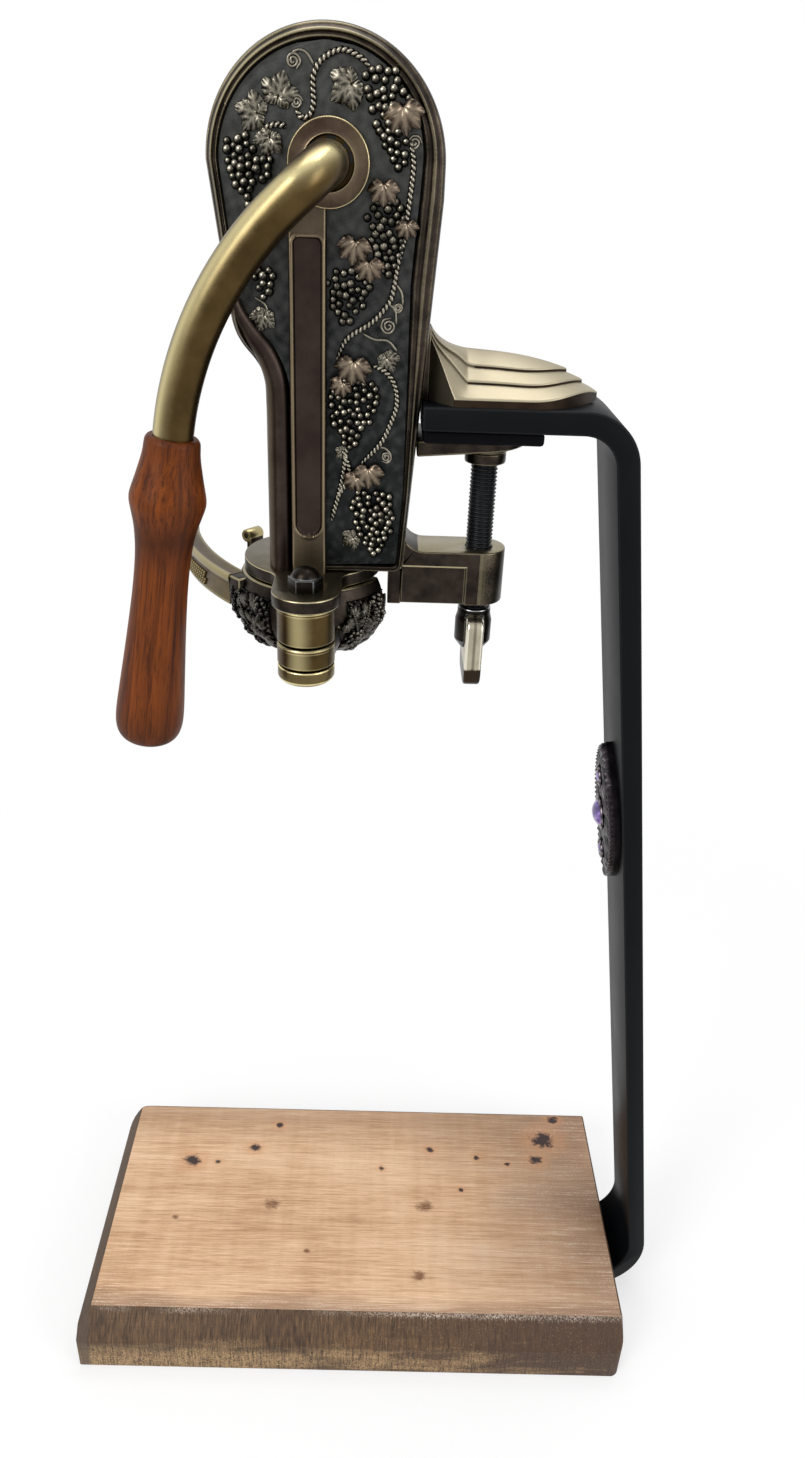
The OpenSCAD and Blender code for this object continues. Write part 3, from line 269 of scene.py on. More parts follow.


# Old plank: grain lines along X, stained and saw-marked sides, dark knots on the top; the shared
# rub-and-sheen attribute is 1 on the sides
def boardWood():
    f = Finish("board_wood")
    look = boardLook
    side = f.attribute("rub")
    rings = f.noise((230, 22, 40), 4.0, 0.6, 0.5)
    lines = f.noise((30, 0.72, 6), 5.0, 0.68, 0.25)
    fibre = f.noise((9, 0.5, 2), 3.0, 0.7)
    cloud = f.noise((60, 34, 60))
    chatter = f.noise((7, 70, 30))
    saw = f.noise((0.9, 7, 12), 3.0, 0.7)
    grit = f.noise((0.9, 0.9, 0.9), 2.0, 0.6)
    x = f.axis(0)
    y = f.axis(1)
    z = f.axis(2)
    grain = rings * 0.45 + lines * 0.8 + fibre * 0.4 + chatter * 0.14 + cloud * 0.34 - 0.56
    grain = grain - (x * 0.25).top(0.0)
    top = f.ramp(grain, [(0.3, look["deep"]), (0.42, look["tan"]), (0.53, look["pale"]),
                         (0.68, look["light"])])
    # worn, dirty band beside the front chamfer, at the back and on the right end, with bleached flecks
    front = y + (look["half"][1] - look["chamfer"][1]) * mm
    left = x + (look["half"][0] - look["chamfer"][0]) * mm
    near = (front + (lines - 0.5) * 0.016 + (cloud - 0.5) * 0.02).span(0.011, 0.0)
    right = (x + (cloud - 0.5) * 0.16 + y * 0.2).span(0.055, 0.17)
    back = (y + (cloud - 0.5) * 0.03).span(0.05, 0.075)
    top = f.mix(near.top(back * 0.6) * 0.55, top, look["char"])
    top = f.mix(right * (0.36 + fibre * 0.6), top, look["char"])
    corner = (left + front * 0.8 + (cloud - 0.5) * 0.03).span(0.05, 0.0)
    fleck = (lines * 0.6 + grit * 0.4).span(0.53, 0.64) * near.top(right * 0.8).top(corner)
    top = f.mix(fleck * 0.75, top, look["ash"])
    speck = (fibre * 0.5 + grit * 0.5).span(0.6, 0.68) * cloud.span(0.42, 0.6)
    top = f.mix(speck * 0.45, top, look["knotBrown"])
    flat = f.node("ShaderNodeCombineXYZ", None, {0: x * look["drawn"], 1: y, 2: 0.0})
    wobble = f.noise((5, 3.4, 5), 3.0, 0.7, 0.8)
    spots = {}
    for key in ("knots", "marks"):
        for spotX, spotY, radius in look[key]:
            middle = (spotX * look["drawn"] * mm, spotY * mm, 0.0)
            gap = f.node("ShaderNodeVectorMath", {"operation": "DISTANCE"}, {0: flat, 1: middle}, out="Value")
            reach = gap / (radius * mm) + (wobble - 0.5) * 2.0
            spots[key] = spots[key].low(reach) if key in spots else reach
    dark = spots["knots"].span(1.0, 0.5)
    brown = spots["marks"].span(1.1, 0.4)
    top = f.mix(spots["knots"].span(2.3, 0.9) * 0.45, top, look["halo"])
    top = f.mix(brown * fibre.span(0.3, 0.5) * 0.9, top, look["knotBrown"])
    top = f.mix(dark * 0.95, top, look["knot"])
    # sides: dark stain with upright saw marks; golden rubbed patches low on the front, left of the middle
    walls = f.mix((saw * 0.75 + cloud * 0.25).span(0.36, 0.64), look["stainDark"], look["stain"])
    walls = f.mix(lines.span(0.52, 0.7) * 0.35, walls, look["stainDark"])
    walls = f.mix((x + (cloud - 0.5) * 0.1).span(0.02, 0.13) * 0.75, walls, look["right"])
    spread = f.noise((46, 60, 10), 4.0, 0.65, 0.5)
    patch = (spread + (0.03 - x) * 1.4).span(0.4, 0.62) * (z - (spread - 0.5) * 0.03).span(0.025, 0.012)
    walls = f.mix(patch * (grit * 0.6 + saw * 0.4).span(0.4, 0.58) * 0.85, walls, look["gold"])
    walls = f.mix(grit.span(0.58, 0.72) * cloud.span(0.4, 0.6) * 0.3, walls, look["gold"])
    # bleached, splintered arris of the front chamfer and the plain grey left chamfer
    arris = abs(front + 0.0008 + (saw - 0.5) * 0.006).span(0.0018, 0.0004)
    arris = arris * grit.span(0.42, 0.58) * cloud.span(0.4, 0.62)
    walls = f.mix(arris * 0.6, walls, look["ash"])
    walls = f.mix(left.span(0.0015, -0.001) * 0.7, walls, look["grey"])
    colour = f.mix((side + (saw - 0.5) * 0.3).span(0.35, 0.65), top, walls)
    tall = lines * 0.7 + fibre * 0.5 + saw * side * 0.7 - dark * 1.2
    return f.done({"Base Color": colour, "Roughness": 0.6 + (fibre - 0.5) * 0.2,
                   "Specular IOR Level": 0.3, "Normal": f.bump(tall, 0.35, 0.6)})


gripLook = {
    "light": tint(128, 64, 20), "mid": tint(100, 48, 14), "dark": tint(50, 22, 9), "pore": tint(30, 14, 8),
    "tilt": 8.5, "length": 133.0, "radius": 15.0,
}


# Lacquered red-brown hardwood, grain along the grip; handling has darkened the waist and both ends
def gripWood():
    f = Finish("grip_wood")
    look = gripLook
    turn = (0.0, -np.radians(look["tilt"]), 0.0)
    rings = f.noise((6, 6, 130), 4.0, 0.6, 0.8, turn)
    lines = f.noise((1.3, 1.3, 60), 4.0, 0.65, 0.2, turn)
    pores = f.noise((0.42, 0.42, 7), 2.0, 0.6, 0.0, turn)
    colour = f.ramp(rings.span(0.28, 0.72), [(0.0, look["dark"]), (0.45, look["mid"]), (1.0, look["light"])])
    colour = f.mix(lines.span(0.5, 0.66) * 0.75, colour, look["dark"])
    colour = f.mix(pores.span(0.58, 0.76) * 0.65, colour, look["pore"])
    z = f.axis(2)
    waist = (1.0 - abs(z - 0.521) * 60.0).top(0.0)
    ends = (0.445 - z).span(-0.01, 0.012).top((z - 0.548).span(-0.004, 0.016))
    handled = (waist * 0.7 + ends * 0.55 + (rings - 0.5) * 0.3).span(0.1, 1.0)
    colour = f.mix(handled, colour, look["dark"])
    return f.done({"Base Color": colour, "Roughness": 0.46 + (lines - 0.5) * 0.16,
                   "Specular IOR Level": 0.13, "Normal": f.bump(lines * 0.5 + pores, 0.09, 0.5)})


# Cut stone: glassy violet with paler veils
def violetStone():
    f = Finish("stone")
    veil = f.noise((6, 6, 6), 3.0, 0.6, 1.2)
    colour = f.ramp(veil, [(0.3, tint(46, 26, 78)), (0.52, tint(98, 66, 150)), (0.72, tint(186, 160, 222))])
    return f.done({"Base Color": colour, "Roughness": 0.06 + veil * 0.05, "IOR": 1.6, "Coat Weight": 0.6})


steel = plainSteel()
wood = boardWood()
rosewood = gripWood()
stone = violetStone()
print("finishes made:", len(bpy.data.materials))


# Collects grids of points (mm) with a rub-and-sheen value each, wear and painted highlight, and closes rings
# and ends as asked
class Shell:
    def __init__(self):
        self.points = []
        self.rubAndSheenRows = []
        self.faces = []
        self.count = 0

    # rows of points: ring joins each row's end to its start, loop the last row to the first
    def grid(self, spots, rub=0.0, ring=False, loop=False, caps=False):
        n, m = spots.shape[:2]
        index = np.arange(n * m).reshape(n, m) + self.count
        self.points.append(spots.reshape(-1, 3))
        self.rubAndSheenRows.append(np.broadcast_to(np.asarray(rub, float), (n, m)).reshape(-1))
        self.count += n * m
        wide = np.hstack([index, index[:, :1]]) if ring else index
        wide = np.vstack([wide, wide[:1]]) if loop else wide
        quads = np.stack([wide[:-1, :-1], wide[:-1, 1:], wide[1:, 1:], wide[1:, :-1]], -1)
        self.faces += quads.reshape(-1, 4).tolist()
        if caps:
            self.faces += [index[0].tolist(), index[-1][::-1].tolist()]

    # the same small grid of closed rings set at many centres (k, 3) with sizes (k,)
    def many(self, unit, centres, sizes, rub):
        n, m = unit.shape[:2]
        spots = unit[None] * np.asarray(sizes)[:, None, None, None] + np.asarray(centres)[:, None, None, :]
        k = len(spots)
        index = np.arange(k * n * m).reshape(k, n, m) + self.count
        self.points.append(spots.reshape(-1, 3))
        self.rubAndSheenRows.append(np.broadcast_to(rub, (k, n, m)).reshape(-1))
        self.count += k * n * m
        wide = np.concatenate([index, index[:, :, :1]], 2)
        quads = np.stack([wide[:, :-1, :-1], wide[:, :-1, 1:], wide[:, 1:, 1:], wide[:, 1:, :-1]], -1)
        self.faces += quads.reshape(-1, 4).tolist() + index[:, 0].tolist() + index[:, -1, ::-1].tolist()

    # closed slab between a worked face and its back; a lip's height under the arris the walls take the wall
    # value, wear and painted light
    def slab(self, face, back, rub=0.0, wallRubAndSheen=0.0, lip=0.15):
        def rim(a):
            return np.concatenate([a[0], a[1:, -1], a[-1, -2::-1], a[-2:0:-1, 0]])
        rub = np.broadcast_to(np.asarray(rub, float), face.shape[:2])
        wallRubAndSheen = np.broadcast_to(np.asarray(wallRubAndSheen, float), face.shape[:2])
        high, low = rim(face), rim(back)
        deep = np.linalg.norm(low - high, axis=1, keepdims=True)
        under = high + (low - high) * np.minimum(1.0, lip / deep)
        wallRim = rim(wallRubAndSheen[..., None])[:, 0]
        walls = np.stack([rim(rub[..., None])[:, 0], wallRim, wallRim])
        self.grid(face, rub)
        self.grid(back, wallRubAndSheen)
        self.grid(np.stack([high, under, low]), walls, ring=True)

    # place turns the collected points into their seats, as on a curved jaw; seams are welded
    def make(self, name, finish, body, slotName, replaced=(), place=None, sharp=35.0):
        spots = np.vstack(self.points)
        spots = (place(spots) if place else spots) * mm
        mesh = bpy.data.meshes.new(name)
        mesh.from_pydata(spots, [], self.faces)
        rubAndSheenRows = mesh.attributes.new("rub", "FLOAT", "POINT")
        rubAndSheenRows.data.foreach_set("value", np.concatenate(self.rubAndSheenRows).astype(np.float32))
        form = bmesh.new()
        form.from_mesh(mesh)
        bmesh.ops.remove_doubles(form, verts=form.verts, dist=1e-7)
        bmesh.ops.recalc_face_normals(form, faces=form.faces)
        form.to_mesh(mesh)
        form.free()
        seat(name, mesh, finish, body, replaced, sharp)


# Puts a mesh in the scene as a piece that rides on a body
def seat(name, mesh, finish, body, replaced, sharp):
    mesh.shade_smooth()
    mesh.set_sharp_from_angle(angle=np.radians(sharp))
    mesh.materials.clear()
    mesh.materials.append(finish)
    piece = linked(name, mesh)
    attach(piece, body)
    if replaced:
        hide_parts(*replaced)


# edges turned further than keen (degrees) are rounded; near-flat faces are joined first
dressRule = {"keen": 28.0, "sharp": 40.0, "merge": 1e-6, "flat": 0.004}


# A CAD solid with its arrises rounded; rounded faces get the value shine, partly wear and partly painted
# highlight, others plain, or what bare(face) gives
def dressed(node, width, finish, body, bare=None, segments=2, plain=0.0, shine=1.0, skip=None,
            hollows=True):
    form = bmesh.new()
    form.from_mesh(nodes[node].data)
    layer = form.faces.layers.float.new("rub")
    bmesh.ops.remove_doubles(form, verts=form.verts, dist=dressRule["merge"])
    bmesh.ops.dissolve_limit(form, angle_limit=dressRule["flat"], verts=form.verts, edges=form.edges)
    keen = np.radians(dressRule["keen"])
    arrises = [e for e in form.edges if len(e.link_faces) == 2 and e.calc_face_angle(0.0) > keen
               and (e.is_convex or hollows) and not (skip and skip(e))]
    made = bmesh.ops.bevel(form, geom=arrises, offset=width * mm, offset_type="OFFSET", segments=segments,
                           profile=0.5, affect="EDGES", clamp_overlap=False)
    for face in form.faces:
        face[layer] = plain
    for face in made["faces"]:
        face[layer] = shine
    if bare:
        for face in form.faces:
            face[layer] = bare(face, face[layer])
    mesh = bpy.data.meshes.new(node + "_form")
    form.to_mesh(mesh)
    form.free()
    seat(node + "_form", mesh, finish, body, (node,), dressRule["sharp"])


# Smooth curve through points: Catmull-Rom, evenly spaced in its parameter
def smoothPath(points, count):
    p = np.asarray(points, float)
    p = np.vstack([2 * p[0] - p[1], p, 2 * p[-1] - p[-2]])
    t = np.linspace(0, len(p) - 3 - 1e-9, count)
    i = t.astype(int)
    f = (t - i)[:, None]
    a, b, c, d = p[i], p[i + 1], p[i + 2], p[i + 3]
    square = (2 * a - 5 * b + 4 * c - d) * f ** 2
    cube = (3 * b - a - 3 * c + d) * f ** 3
    return 0.5 * (2 * b + (c - a) * f + square + cube)


# Length run along a path up to each of its points
def runAlong(path):
    return np.concatenate([[0], np.cumsum(np.linalg.norm(np.diff(path, axis=0), axis=1))])


# Tube: circle of radius r carried along a path, its quarter turn towards facing; wave(run, angle) scales r
def tube(path, radius, sides, facing=(0.0, 0.0, 1.0), wave=None):
    along = np.gradient(path, axis=0)
    along /= np.linalg.norm(along, axis=1, keepdims=True)
    across = np.cross(along, np.asarray(facing, float))
    across /= np.linalg.norm(across, axis=1, keepdims=True)
    lift = np.cross(across, along)
    angle = np.linspace(0, 2 * np.pi, sides, endpoint=False)
    r = np.broadcast_to(np.asarray(radius, float), len(path))[:, None] * np.ones(sides)
    if wave:
        r = r * wave(runAlong(path)[:, None], angle[None])
    out = (r * np.cos(angle))[..., None] * across[:, None] + (r * np.sin(angle))[..., None] * lift[:, None]
    return path[:, None] + out


# Turned shape: profile (radius, height) carried round an axis from base
def turned(profile, base, axis=(0, 0, 1), sides=64):
    profile = np.asarray(profile, float)
    axis = np.asarray(axis, float) / np.linalg.norm(axis)
    first = np.cross(axis, (0.31, 0.17, 0.94) if abs(axis[2]) < 0.9 else (0.0, 1.0, 0.0))
    first /= np.linalg.norm(first)
    second = np.cross(axis, first)
    angle = np.linspace(0, 2 * np.pi, sides, endpoint=False)
    circle = np.cos(angle)[:, None] * first + np.sin(angle)[:, None] * second
    heights = np.asarray(base, float) + profile[:, 1, None, None] * axis
    return heights + profile[:, 0, None, None] * circle[None]


# Base board and flat-bar stand
boardRule = {"edge": 1.1, "topNormal": 0.93, "shortEdge": 6.0, "lowZ": 20.0, "barEdge": 0.9}


# short edges low on the board stay square
def boardSkip(e):
    short = e.calc_length() < boardRule["shortEdge"] * mm
    return short and e.verts[0].co.z < boardRule["lowZ"] * mm


dressed("base_board", boardRule["edge"], wood, "frame", skip=boardSkip,
        bare=lambda face, rub: 0.0 if face.normal.z > boardRule["topNormal"] else 1.0)
dressed("stand_bar", boardRule["barEdge"], black["bar"], "frame")
print("board and bar done")

# Lever: straight out of the housing, elbow, long bend down to the grip; the painted highlight streak lies
# this many radians past the top
leverRule = {"shaft": (-18.5, 653.0), "radius": 7.75, "inY": -18.5, "planeY": -58.0, "elbow": 14.0,
             "neck": 4.0, "start": 42.0, "turn": 39.5, "bend": 136.0, "sides": 48, "highlightStreak": 0.75}


def leverPath():
    r = leverRule
    heading = np.radians(r["start"])
    out = np.array([-np.cos(heading), 0.0, -np.sin(heading)])
    hub = np.array([r["shaft"][0], 0.0, r["shaft"][1]])
    bendY = r["planeY"] + r["elbow"]
    y = np.linspace(r["inY"], bendY, 14)[:-1]
    straight = hub + xyz(0, y, 0)
    t = np.linspace(0, np.pi / 2, 22)
    elbow = hub + out * (r["elbow"] * (1 - np.cos(t)))[:, None]
    elbow[:, 1] = bendY - r["elbow"] * np.sin(t)
    phi = np.linspace(heading, heading + np.radians(r["turn"]), 60)
    start = elbow[-1] + out * r["neck"]
    swing = xyz(np.sin(heading) - np.sin(phi), 0, np.cos(phi) - np.cos(heading))
    return np.vstack([straight, elbow, start + r["bend"] * swing])


# painted highlight: the bright shade is strongest in a streak on the upper left of the rod
path = leverPath()
angle = np.linspace(0, 2 * np.pi, leverRule["sides"], endpoint=False)
off = (angle - np.pi / 2 - leverRule["highlightStreak"] + np.pi) % (2 * np.pi) - np.pi
lever = Shell()
lever.grid(tube(path, leverRule["radius"], leverRule["sides"]),
           0.2 * hump(off / 0.8) + 0.55 * hump(off / 0.28), ring=True, caps=True)
lever.make("lever_rod", cast["brass"], "lever", "brass", ("lever_arm",))

# Grip: share of the length, share of the largest radius; bolt head in its end: radius, distance in mm
gripRule = {"profile": [(0.0, 0.56), (0.002, 0.64), (0.012, 0.7), (0.024, 0.715), (0.06, 0.75), (0.12, 0.87),
                        (0.162, 0.965), (0.182, 0.995), (0.2, 0.985), (0.225, 0.93), (0.27, 0.83),
                        (0.32, 0.765), (0.37, 0.735), (0.43, 0.73), (0.5, 0.745), (0.6, 0.79), (0.7, 0.845),
                        (0.8, 0.905), (0.87, 0.945), (0.915, 0.955), (0.945, 0.93), (0.967, 0.87),
                        (0.983, 0.77), (0.994, 0.62), (1.0, 0.42)],
            "bolt": [(4.4, 131.2), (4.4, 132.2), (3.9, 132.8), (2.4, 133.0), (2.2, 132.2), (0.4, 132.1)]}
heading = np.radians(90 - gripLook["tilt"])
gripAxis = np.array([-np.cos(heading), 0.0, -np.sin(heading)])
curve = smoothPath(gripRule["profile"], 150)
profile = np.stack([curve[:, 1] * gripLook["radius"], curve[:, 0] * gripLook["length"]], 1)
grip = Shell()
grip.grid(turned(profile, path[-1], gripAxis, 72), ring=True, caps=True)
grip.make("turned_grip", rosewood, "lever", "grip_wood", ("wood_grip",), sharp=60)
bolt = Shell()
bolt.grid(turned(gripRule["bolt"], path[-1], gripAxis, 32), 0.3, ring=True, caps=True)
bolt.make("grip_bolt_head", steel, "lever", "steel", ("grip_bolt",))
print("lever and grip done")

# Front cover: outline of the housing's front, and its rim
coverRule = {"head": (-19.8, 653.0), "headR": 44.3, "shoulder": (-56.0, 592.0), "neck": (-44.0, 578.0),
             "left": -44.0, "right": 14.0, "foot": 495.0, "corner": 5.0, "ease": 8.0,
             "panelY": -22.0, "backY": -18.0, "points": 720,
             # width of the rim by height, on the right and on the left, blended from x to x
             "rimRight": [(495, 0.38), (530, 0.42), (570, 0.75), (612, 1.12), (640, 1.12), (670, 0.92),
                          (697, 0.72)],
             "rimLeft": [(575, 0.3), (600, 0.5), (650, 0.58), (697, 0.72)], "blend": (-30, -6),
             # the rim dies away behind the round strip left of the rail: over these heights, over these x
             "fade": 0.8, "fadeZ": (592, 576), "fadeX": (-30, -36), "light": (-0.64, 0.77),
             # rim profile: inset, y, rub; the ridges' brightness is partly painted highlight
             "rim": [(0.0, -18.0, 0.0), (0.0, -20.6, 0.02), (0.5, -22.1, 0.15), (1.1, -22.9, 0.4),
                     (1.7, -23.0, 0.12), (2.3, -23.4, 0.02), (3.1, -24.4, 0.1), (3.7, -25.0, 0.55),
                     (4.3, -25.0, 0.5), (4.8, -24.6, 0.15), (5.2, -23.9, 0.0), (6.0, -23.7, 0.02),
                     (6.7, -23.95, 0.34), (7.1, -23.85, 0.22), (7.6, -23.2, 0.02), (8.3, -21.8, 0.0),
                     (8.3, -18.2, 0.0)]}


# Quadratic easing of the corner b between a and c, d before and after it
def eased(a, b, c, d):
    a, b, c = np.array(a), np.array(b), np.array(c)
    p = b + d * (a - b) / np.linalg.norm(a - b)
    q = b + d * (c - b) / np.linalg.norm(c - b)
    t = np.linspace(0, 1, 12)[:, None]
    return (1 - t) ** 2 * p + 2 * t * (1 - t) * b + t * t * q


# Half circle over the head, then eased corners down the left, along the foot and up the right; evenly spaced
def coverOutline():
    r = coverRule
    x, z = r["head"]
    side = (x - r["headR"], z)
    high = (x + r["headR"], z - r["headR"] / 4)
    footL, footR = (r["left"], r["foot"]), (r["right"], r["foot"])
    t = np.linspace(0, np.pi, 90)
    arch = np.stack([x + r["headR"] * np.cos(t), z + r["headR"] * np.sin(t)], 1)
    loop = np.vstack([arch, eased(side, r["shoulder"], r["neck"], r["ease"]),
                      eased(r["shoulder"], r["neck"], footL, r["ease"]),
                      eased(r["neck"], footL, footR, r["corner"]),
                      eased(footL, footR, high, r["corner"]), [high]])
    loop = np.vstack([loop, loop[:1]])
    run = runAlong(loop)
    at = np.linspace(0, run[-1], r["points"], endpoint=False)
    return np.stack([np.interp(at, run, loop[:, 0]), np.interp(at, run, loop[:, 1])], 1)


# the rim's profile carried round the outline, with a painted highlight on the upper left, where the light
# catches the ridge
r = coverRule
outline = coverOutline()
along = np.roll(outline, -3, 0) - np.roll(outline, 3, 0)
along /= np.linalg.norm(along, axis=1, keepdims=True)
inward = np.stack([-along[:, 1], along[:, 0]], 1)
rightShare = np.interp(outline[:, 1], *np.transpose(r["rimRight"]))
leftShare = np.interp(outline[:, 1], *np.transpose(r["rimLeft"]))
blend = between(outline[:, 0], *r["blend"])
share = leftShare * (1 - blend) + rightShare * blend
strong = 1 - r["fade"] * between(outline[:, 1], *r["fadeZ"]) * between(outline[:, 0], *r["fadeX"])
rim = np.array(r["rim"])
flat = outline[None] + rim[:, 0][:, None, None] * (share[:, None] * inward)[None]
rimY = r["backY"] + (rim[:, 1][:, None] - r["backY"]) * strong
towardLight = np.clip(-inward @ np.array(r["light"]), 0, 1)
cover = Shell()
cover.grid(xyz(flat[..., 0], rimY, flat[..., 1]),
           rim[:, 2][:, None] * (0.36 + 1.05 * towardLight ** 2) * strong, ring=True, loop=True)
cover.make("cover_rim", cast["bronze"], "frame", "bronze", ("front_cover",), sharp=50)

# Round strip left of the rail, running up into the shoulder of the rim: x, z, radius
stripRule = {"front": -25.0, "sides": 40, "light": (-0.86, -0.5, 0.1),
             "line": [(-38.5, 495.0, 5.5), (-38.5, 520.0, 5.5), (-38.5, 548.0, 5.5), (-38.6, 566.0, 5.4),
                      (-39.6, 576.0, 5.0), (-43.6, 585.5, 4.4), (-49.8, 593.6, 3.6), (-54.6, 602.0, 2.8),
                      (-57.0, 612.0, 2.0)]}
line = smoothPath(stripRule["line"], 120)
middle = xyz(line[:, 0], stripRule["front"] + line[:, 2], line[:, 1])
stripSpots = tube(middle, line[:, 2], stripRule["sides"], (0.0, -1.0, 0.0))
outward = (stripSpots - middle[:, None]) / line[:, 2][:, None, None]
# painted highlight on the side of the strip that faces the light
lit = np.clip(outward @ np.array(stripRule["light"]), 0, 1)
strip = Shell()
strip.grid(stripSpots, 0.04 + 0.2 * lit ** 3, ring=True, caps=True)
strip.make("cover_strip", cast["rail"], "frame", "bronze", sharp=60)

# Panel: rows across the opening inside the rim, faintly hammered, paler towards the top
panelRule = {"rows": 150, "columns": 64, "inset": 0.02, "back": -18.4, "dent": 0.07, "pale": (540.0, 690.0)}
r = panelRule
inner = flat[-2]
rows = np.linspace(inner[:, 1].min() + r["inset"], inner[:, 1].max() - r["inset"], r["rows"])
after = np.roll(inner, -1, 0)
climb = np.where(after[:, 1] == inner[:, 1], 1e-9, after[:, 1] - inner[:, 1])
rise = (rows[:, None] - inner[None, :, 1]) / climb
cross = np.where((rise >= 0) & (rise <= 1), inner[:, 0] + rise * (after[:, 0] - inner[:, 0]), np.nan)
span = np.linspace(0, 1, r["columns"])
panelX = np.nanmin(cross, 1)[:, None] * (1 - span) + np.nanmax(cross, 1)[:, None] * span
panelZ = rows[:, None]
dents = np.sin(panelX * 0.9 + 1.7 * np.sin(panelZ * 0.31))
dents = dents * np.sin(panelZ * 0.83 + 1.3 * np.sin(panelX * 0.47))
panel = Shell()
panel.slab(xyz(panelX, coverRule["panelY"] - r["dent"] * dents, panelZ), xyz(panelX, r["back"], panelZ),
           0.06 + 0.1 * dents + 0.3 * between(panelZ, *r["pale"]))
panel.make("cover_panel", cast["panel"], "frame", "dark_metal")

# Centre rail: two round ridges with a long bare hollow between them
railRule = {"x": -26.5, "half": 7.3, "low": 495.0, "high": 640.0, "front": -27.0, "back": -21.5,
            "slotHalf": 5.3, "slotLow": 517.0, "slotHigh": 628.0, "corner": 2.2, "middle": 560.0, "sink": 1.6,
            "bevel": 0.9, "columns": 75, "rows": 260}


# y and rub: gap is the distance outside the hollow, which has a round low end and a flat top, corners rounded
def railFront(x, z):
    r = railRule
    off = np.abs(x - r["x"])
    low = np.hypot(x - r["x"], np.maximum(r["slotLow"] - z, 0)) - r["slotHalf"]
    cornerX = np.maximum(off - r["slotHalf"] + r["corner"], 0)
    cornerZ = np.maximum(z - r["slotHigh"] + r["corner"], 0)
    high = np.hypot(cornerX, cornerZ) - r["corner"]
    upper = np.where(z > r["slotHigh"] - r["corner"], high, off - r["slotHalf"])
    gap = np.where(z > r["middle"], upper, low)
    hollow = between(gap, 0.4, -0.4)
    hollow = hollow * hollow * (3 - 2 * hollow)
    edge = between(off, r["half"] - r["bevel"], r["half"])
    ridge = hump((gap - 0.75) / 0.55)
    outer = hump((off - r["half"] + 0.75) / 0.3)
    y = r["front"] + r["sink"] * hollow + 1.1 * edge ** 2 - 0.25 * ridge + 0.25
    foot = between(z, r["slotLow"] - 4, r["slotLow"] - 14)
    shade = between(x, r["x"], r["x"] + r["half"])
    # painted shade: the right half of the rail is a little darker
    rub = 0.3 + 0.25 * ridge + 0.4 * outer * (1 - 0.5 * edge) + 0.22 * foot - 0.34 * hollow - 0.1 * shade
    return y, np.clip(rub, 0, 1)


r = railRule
railX, railZ = np.meshgrid(r["x"] + r["half"] * np.linspace(-1, 1, r["columns"]),
                           np.linspace(r["low"], r["high"], r["rows"]))
railY, railRubAndShade = railFront(railX, railZ)
rail = Shell()
rail.slab(xyz(railX, railY, railZ), xyz(railX, r["back"], railZ), railRubAndShade)
rail.make("rail", cast["rail"], "frame", "bronze", ("centre_rail",), sharp=50)

# Ring round the shaft: radius, distance in front, rub
ringRule = {"sides": 96,
            "profile": [(15.3, 21.6, 0.0), (15.3, 26.4, 0.05), (15.2, 27.5, 0.3), (14.9, 28.0, 0.8),
                        (14.7, 28.1, 0.6), (14.4, 28.0, 0.08), (11.6, 28.05, 0.05), (9.9, 28.3, 0.1),
                        (9.6, 28.4, 0.4), (9.3, 28.2, 0.1), (9.1, 26.5, 0.0), (9.1, 21.6, 0.0)]}
profile = np.array(ringRule["profile"])
shaftX, shaftZ = leverRule["shaft"]
ring = Shell()
ring.grid(turned(profile, (shaftX, 0.0, shaftZ), (0, -1, 0), ringRule["sides"]), profile[:, 2][:, None],
          ring=True, loop=True)
ring.make("shaft_ring", cast["ring"], "frame", "brass", ("boss_ring",), sharp=45)
print("cover, rail and ring done")

# Grapevine relief, drawn flat as (u, v, height) and then seated on the cover or a jaw
vineRule = {"grape": 1.68, "gap": 1.4, "throws": 1100, "seed": 7, "highlightFrom": (-0.4, 0.5, 0.77),
            "vine": 1.15, "taper": (0.7, 0.6), "twist": 1.9, "tendril": 0.55, "low": 0.6,
            "curl": 0.5, "curlTurns": 2.1, "curlStep": 1.3}
# lobes of a leaf: degrees from its heading, share of its size; back is how far its middle lies past its stem
leafRule = {"full": {"plump": 0.44, "back": 0.12, "ridge": 0.16, "veins": 1.0,
                     "lobes": [(0, 1.0), (60, 0.92), (-60, 0.92), (118, 0.62), (-118, 0.62)]},
            "fan": {"plump": 0.37, "back": 0.5, "ridge": 0.3, "veins": 0.5,
                    "lobes": [(0, 1.0), (34, 0.97), (-34, 0.97), (68, 0.85), (-68, 0.85)]}}
ball = turned([(np.sin(t), np.cos(t)) for t in np.linspace(0.16, np.pi * 0.62, 6)], (0, 0, 0), (0, 0, 1), 10)
# how far each point of a grape or bead faces the painted highlight's direction
ballLit = ball @ np.array(vineRule["highlightFrom"])
draw = np.random.default_rng(vineRule["seed"])


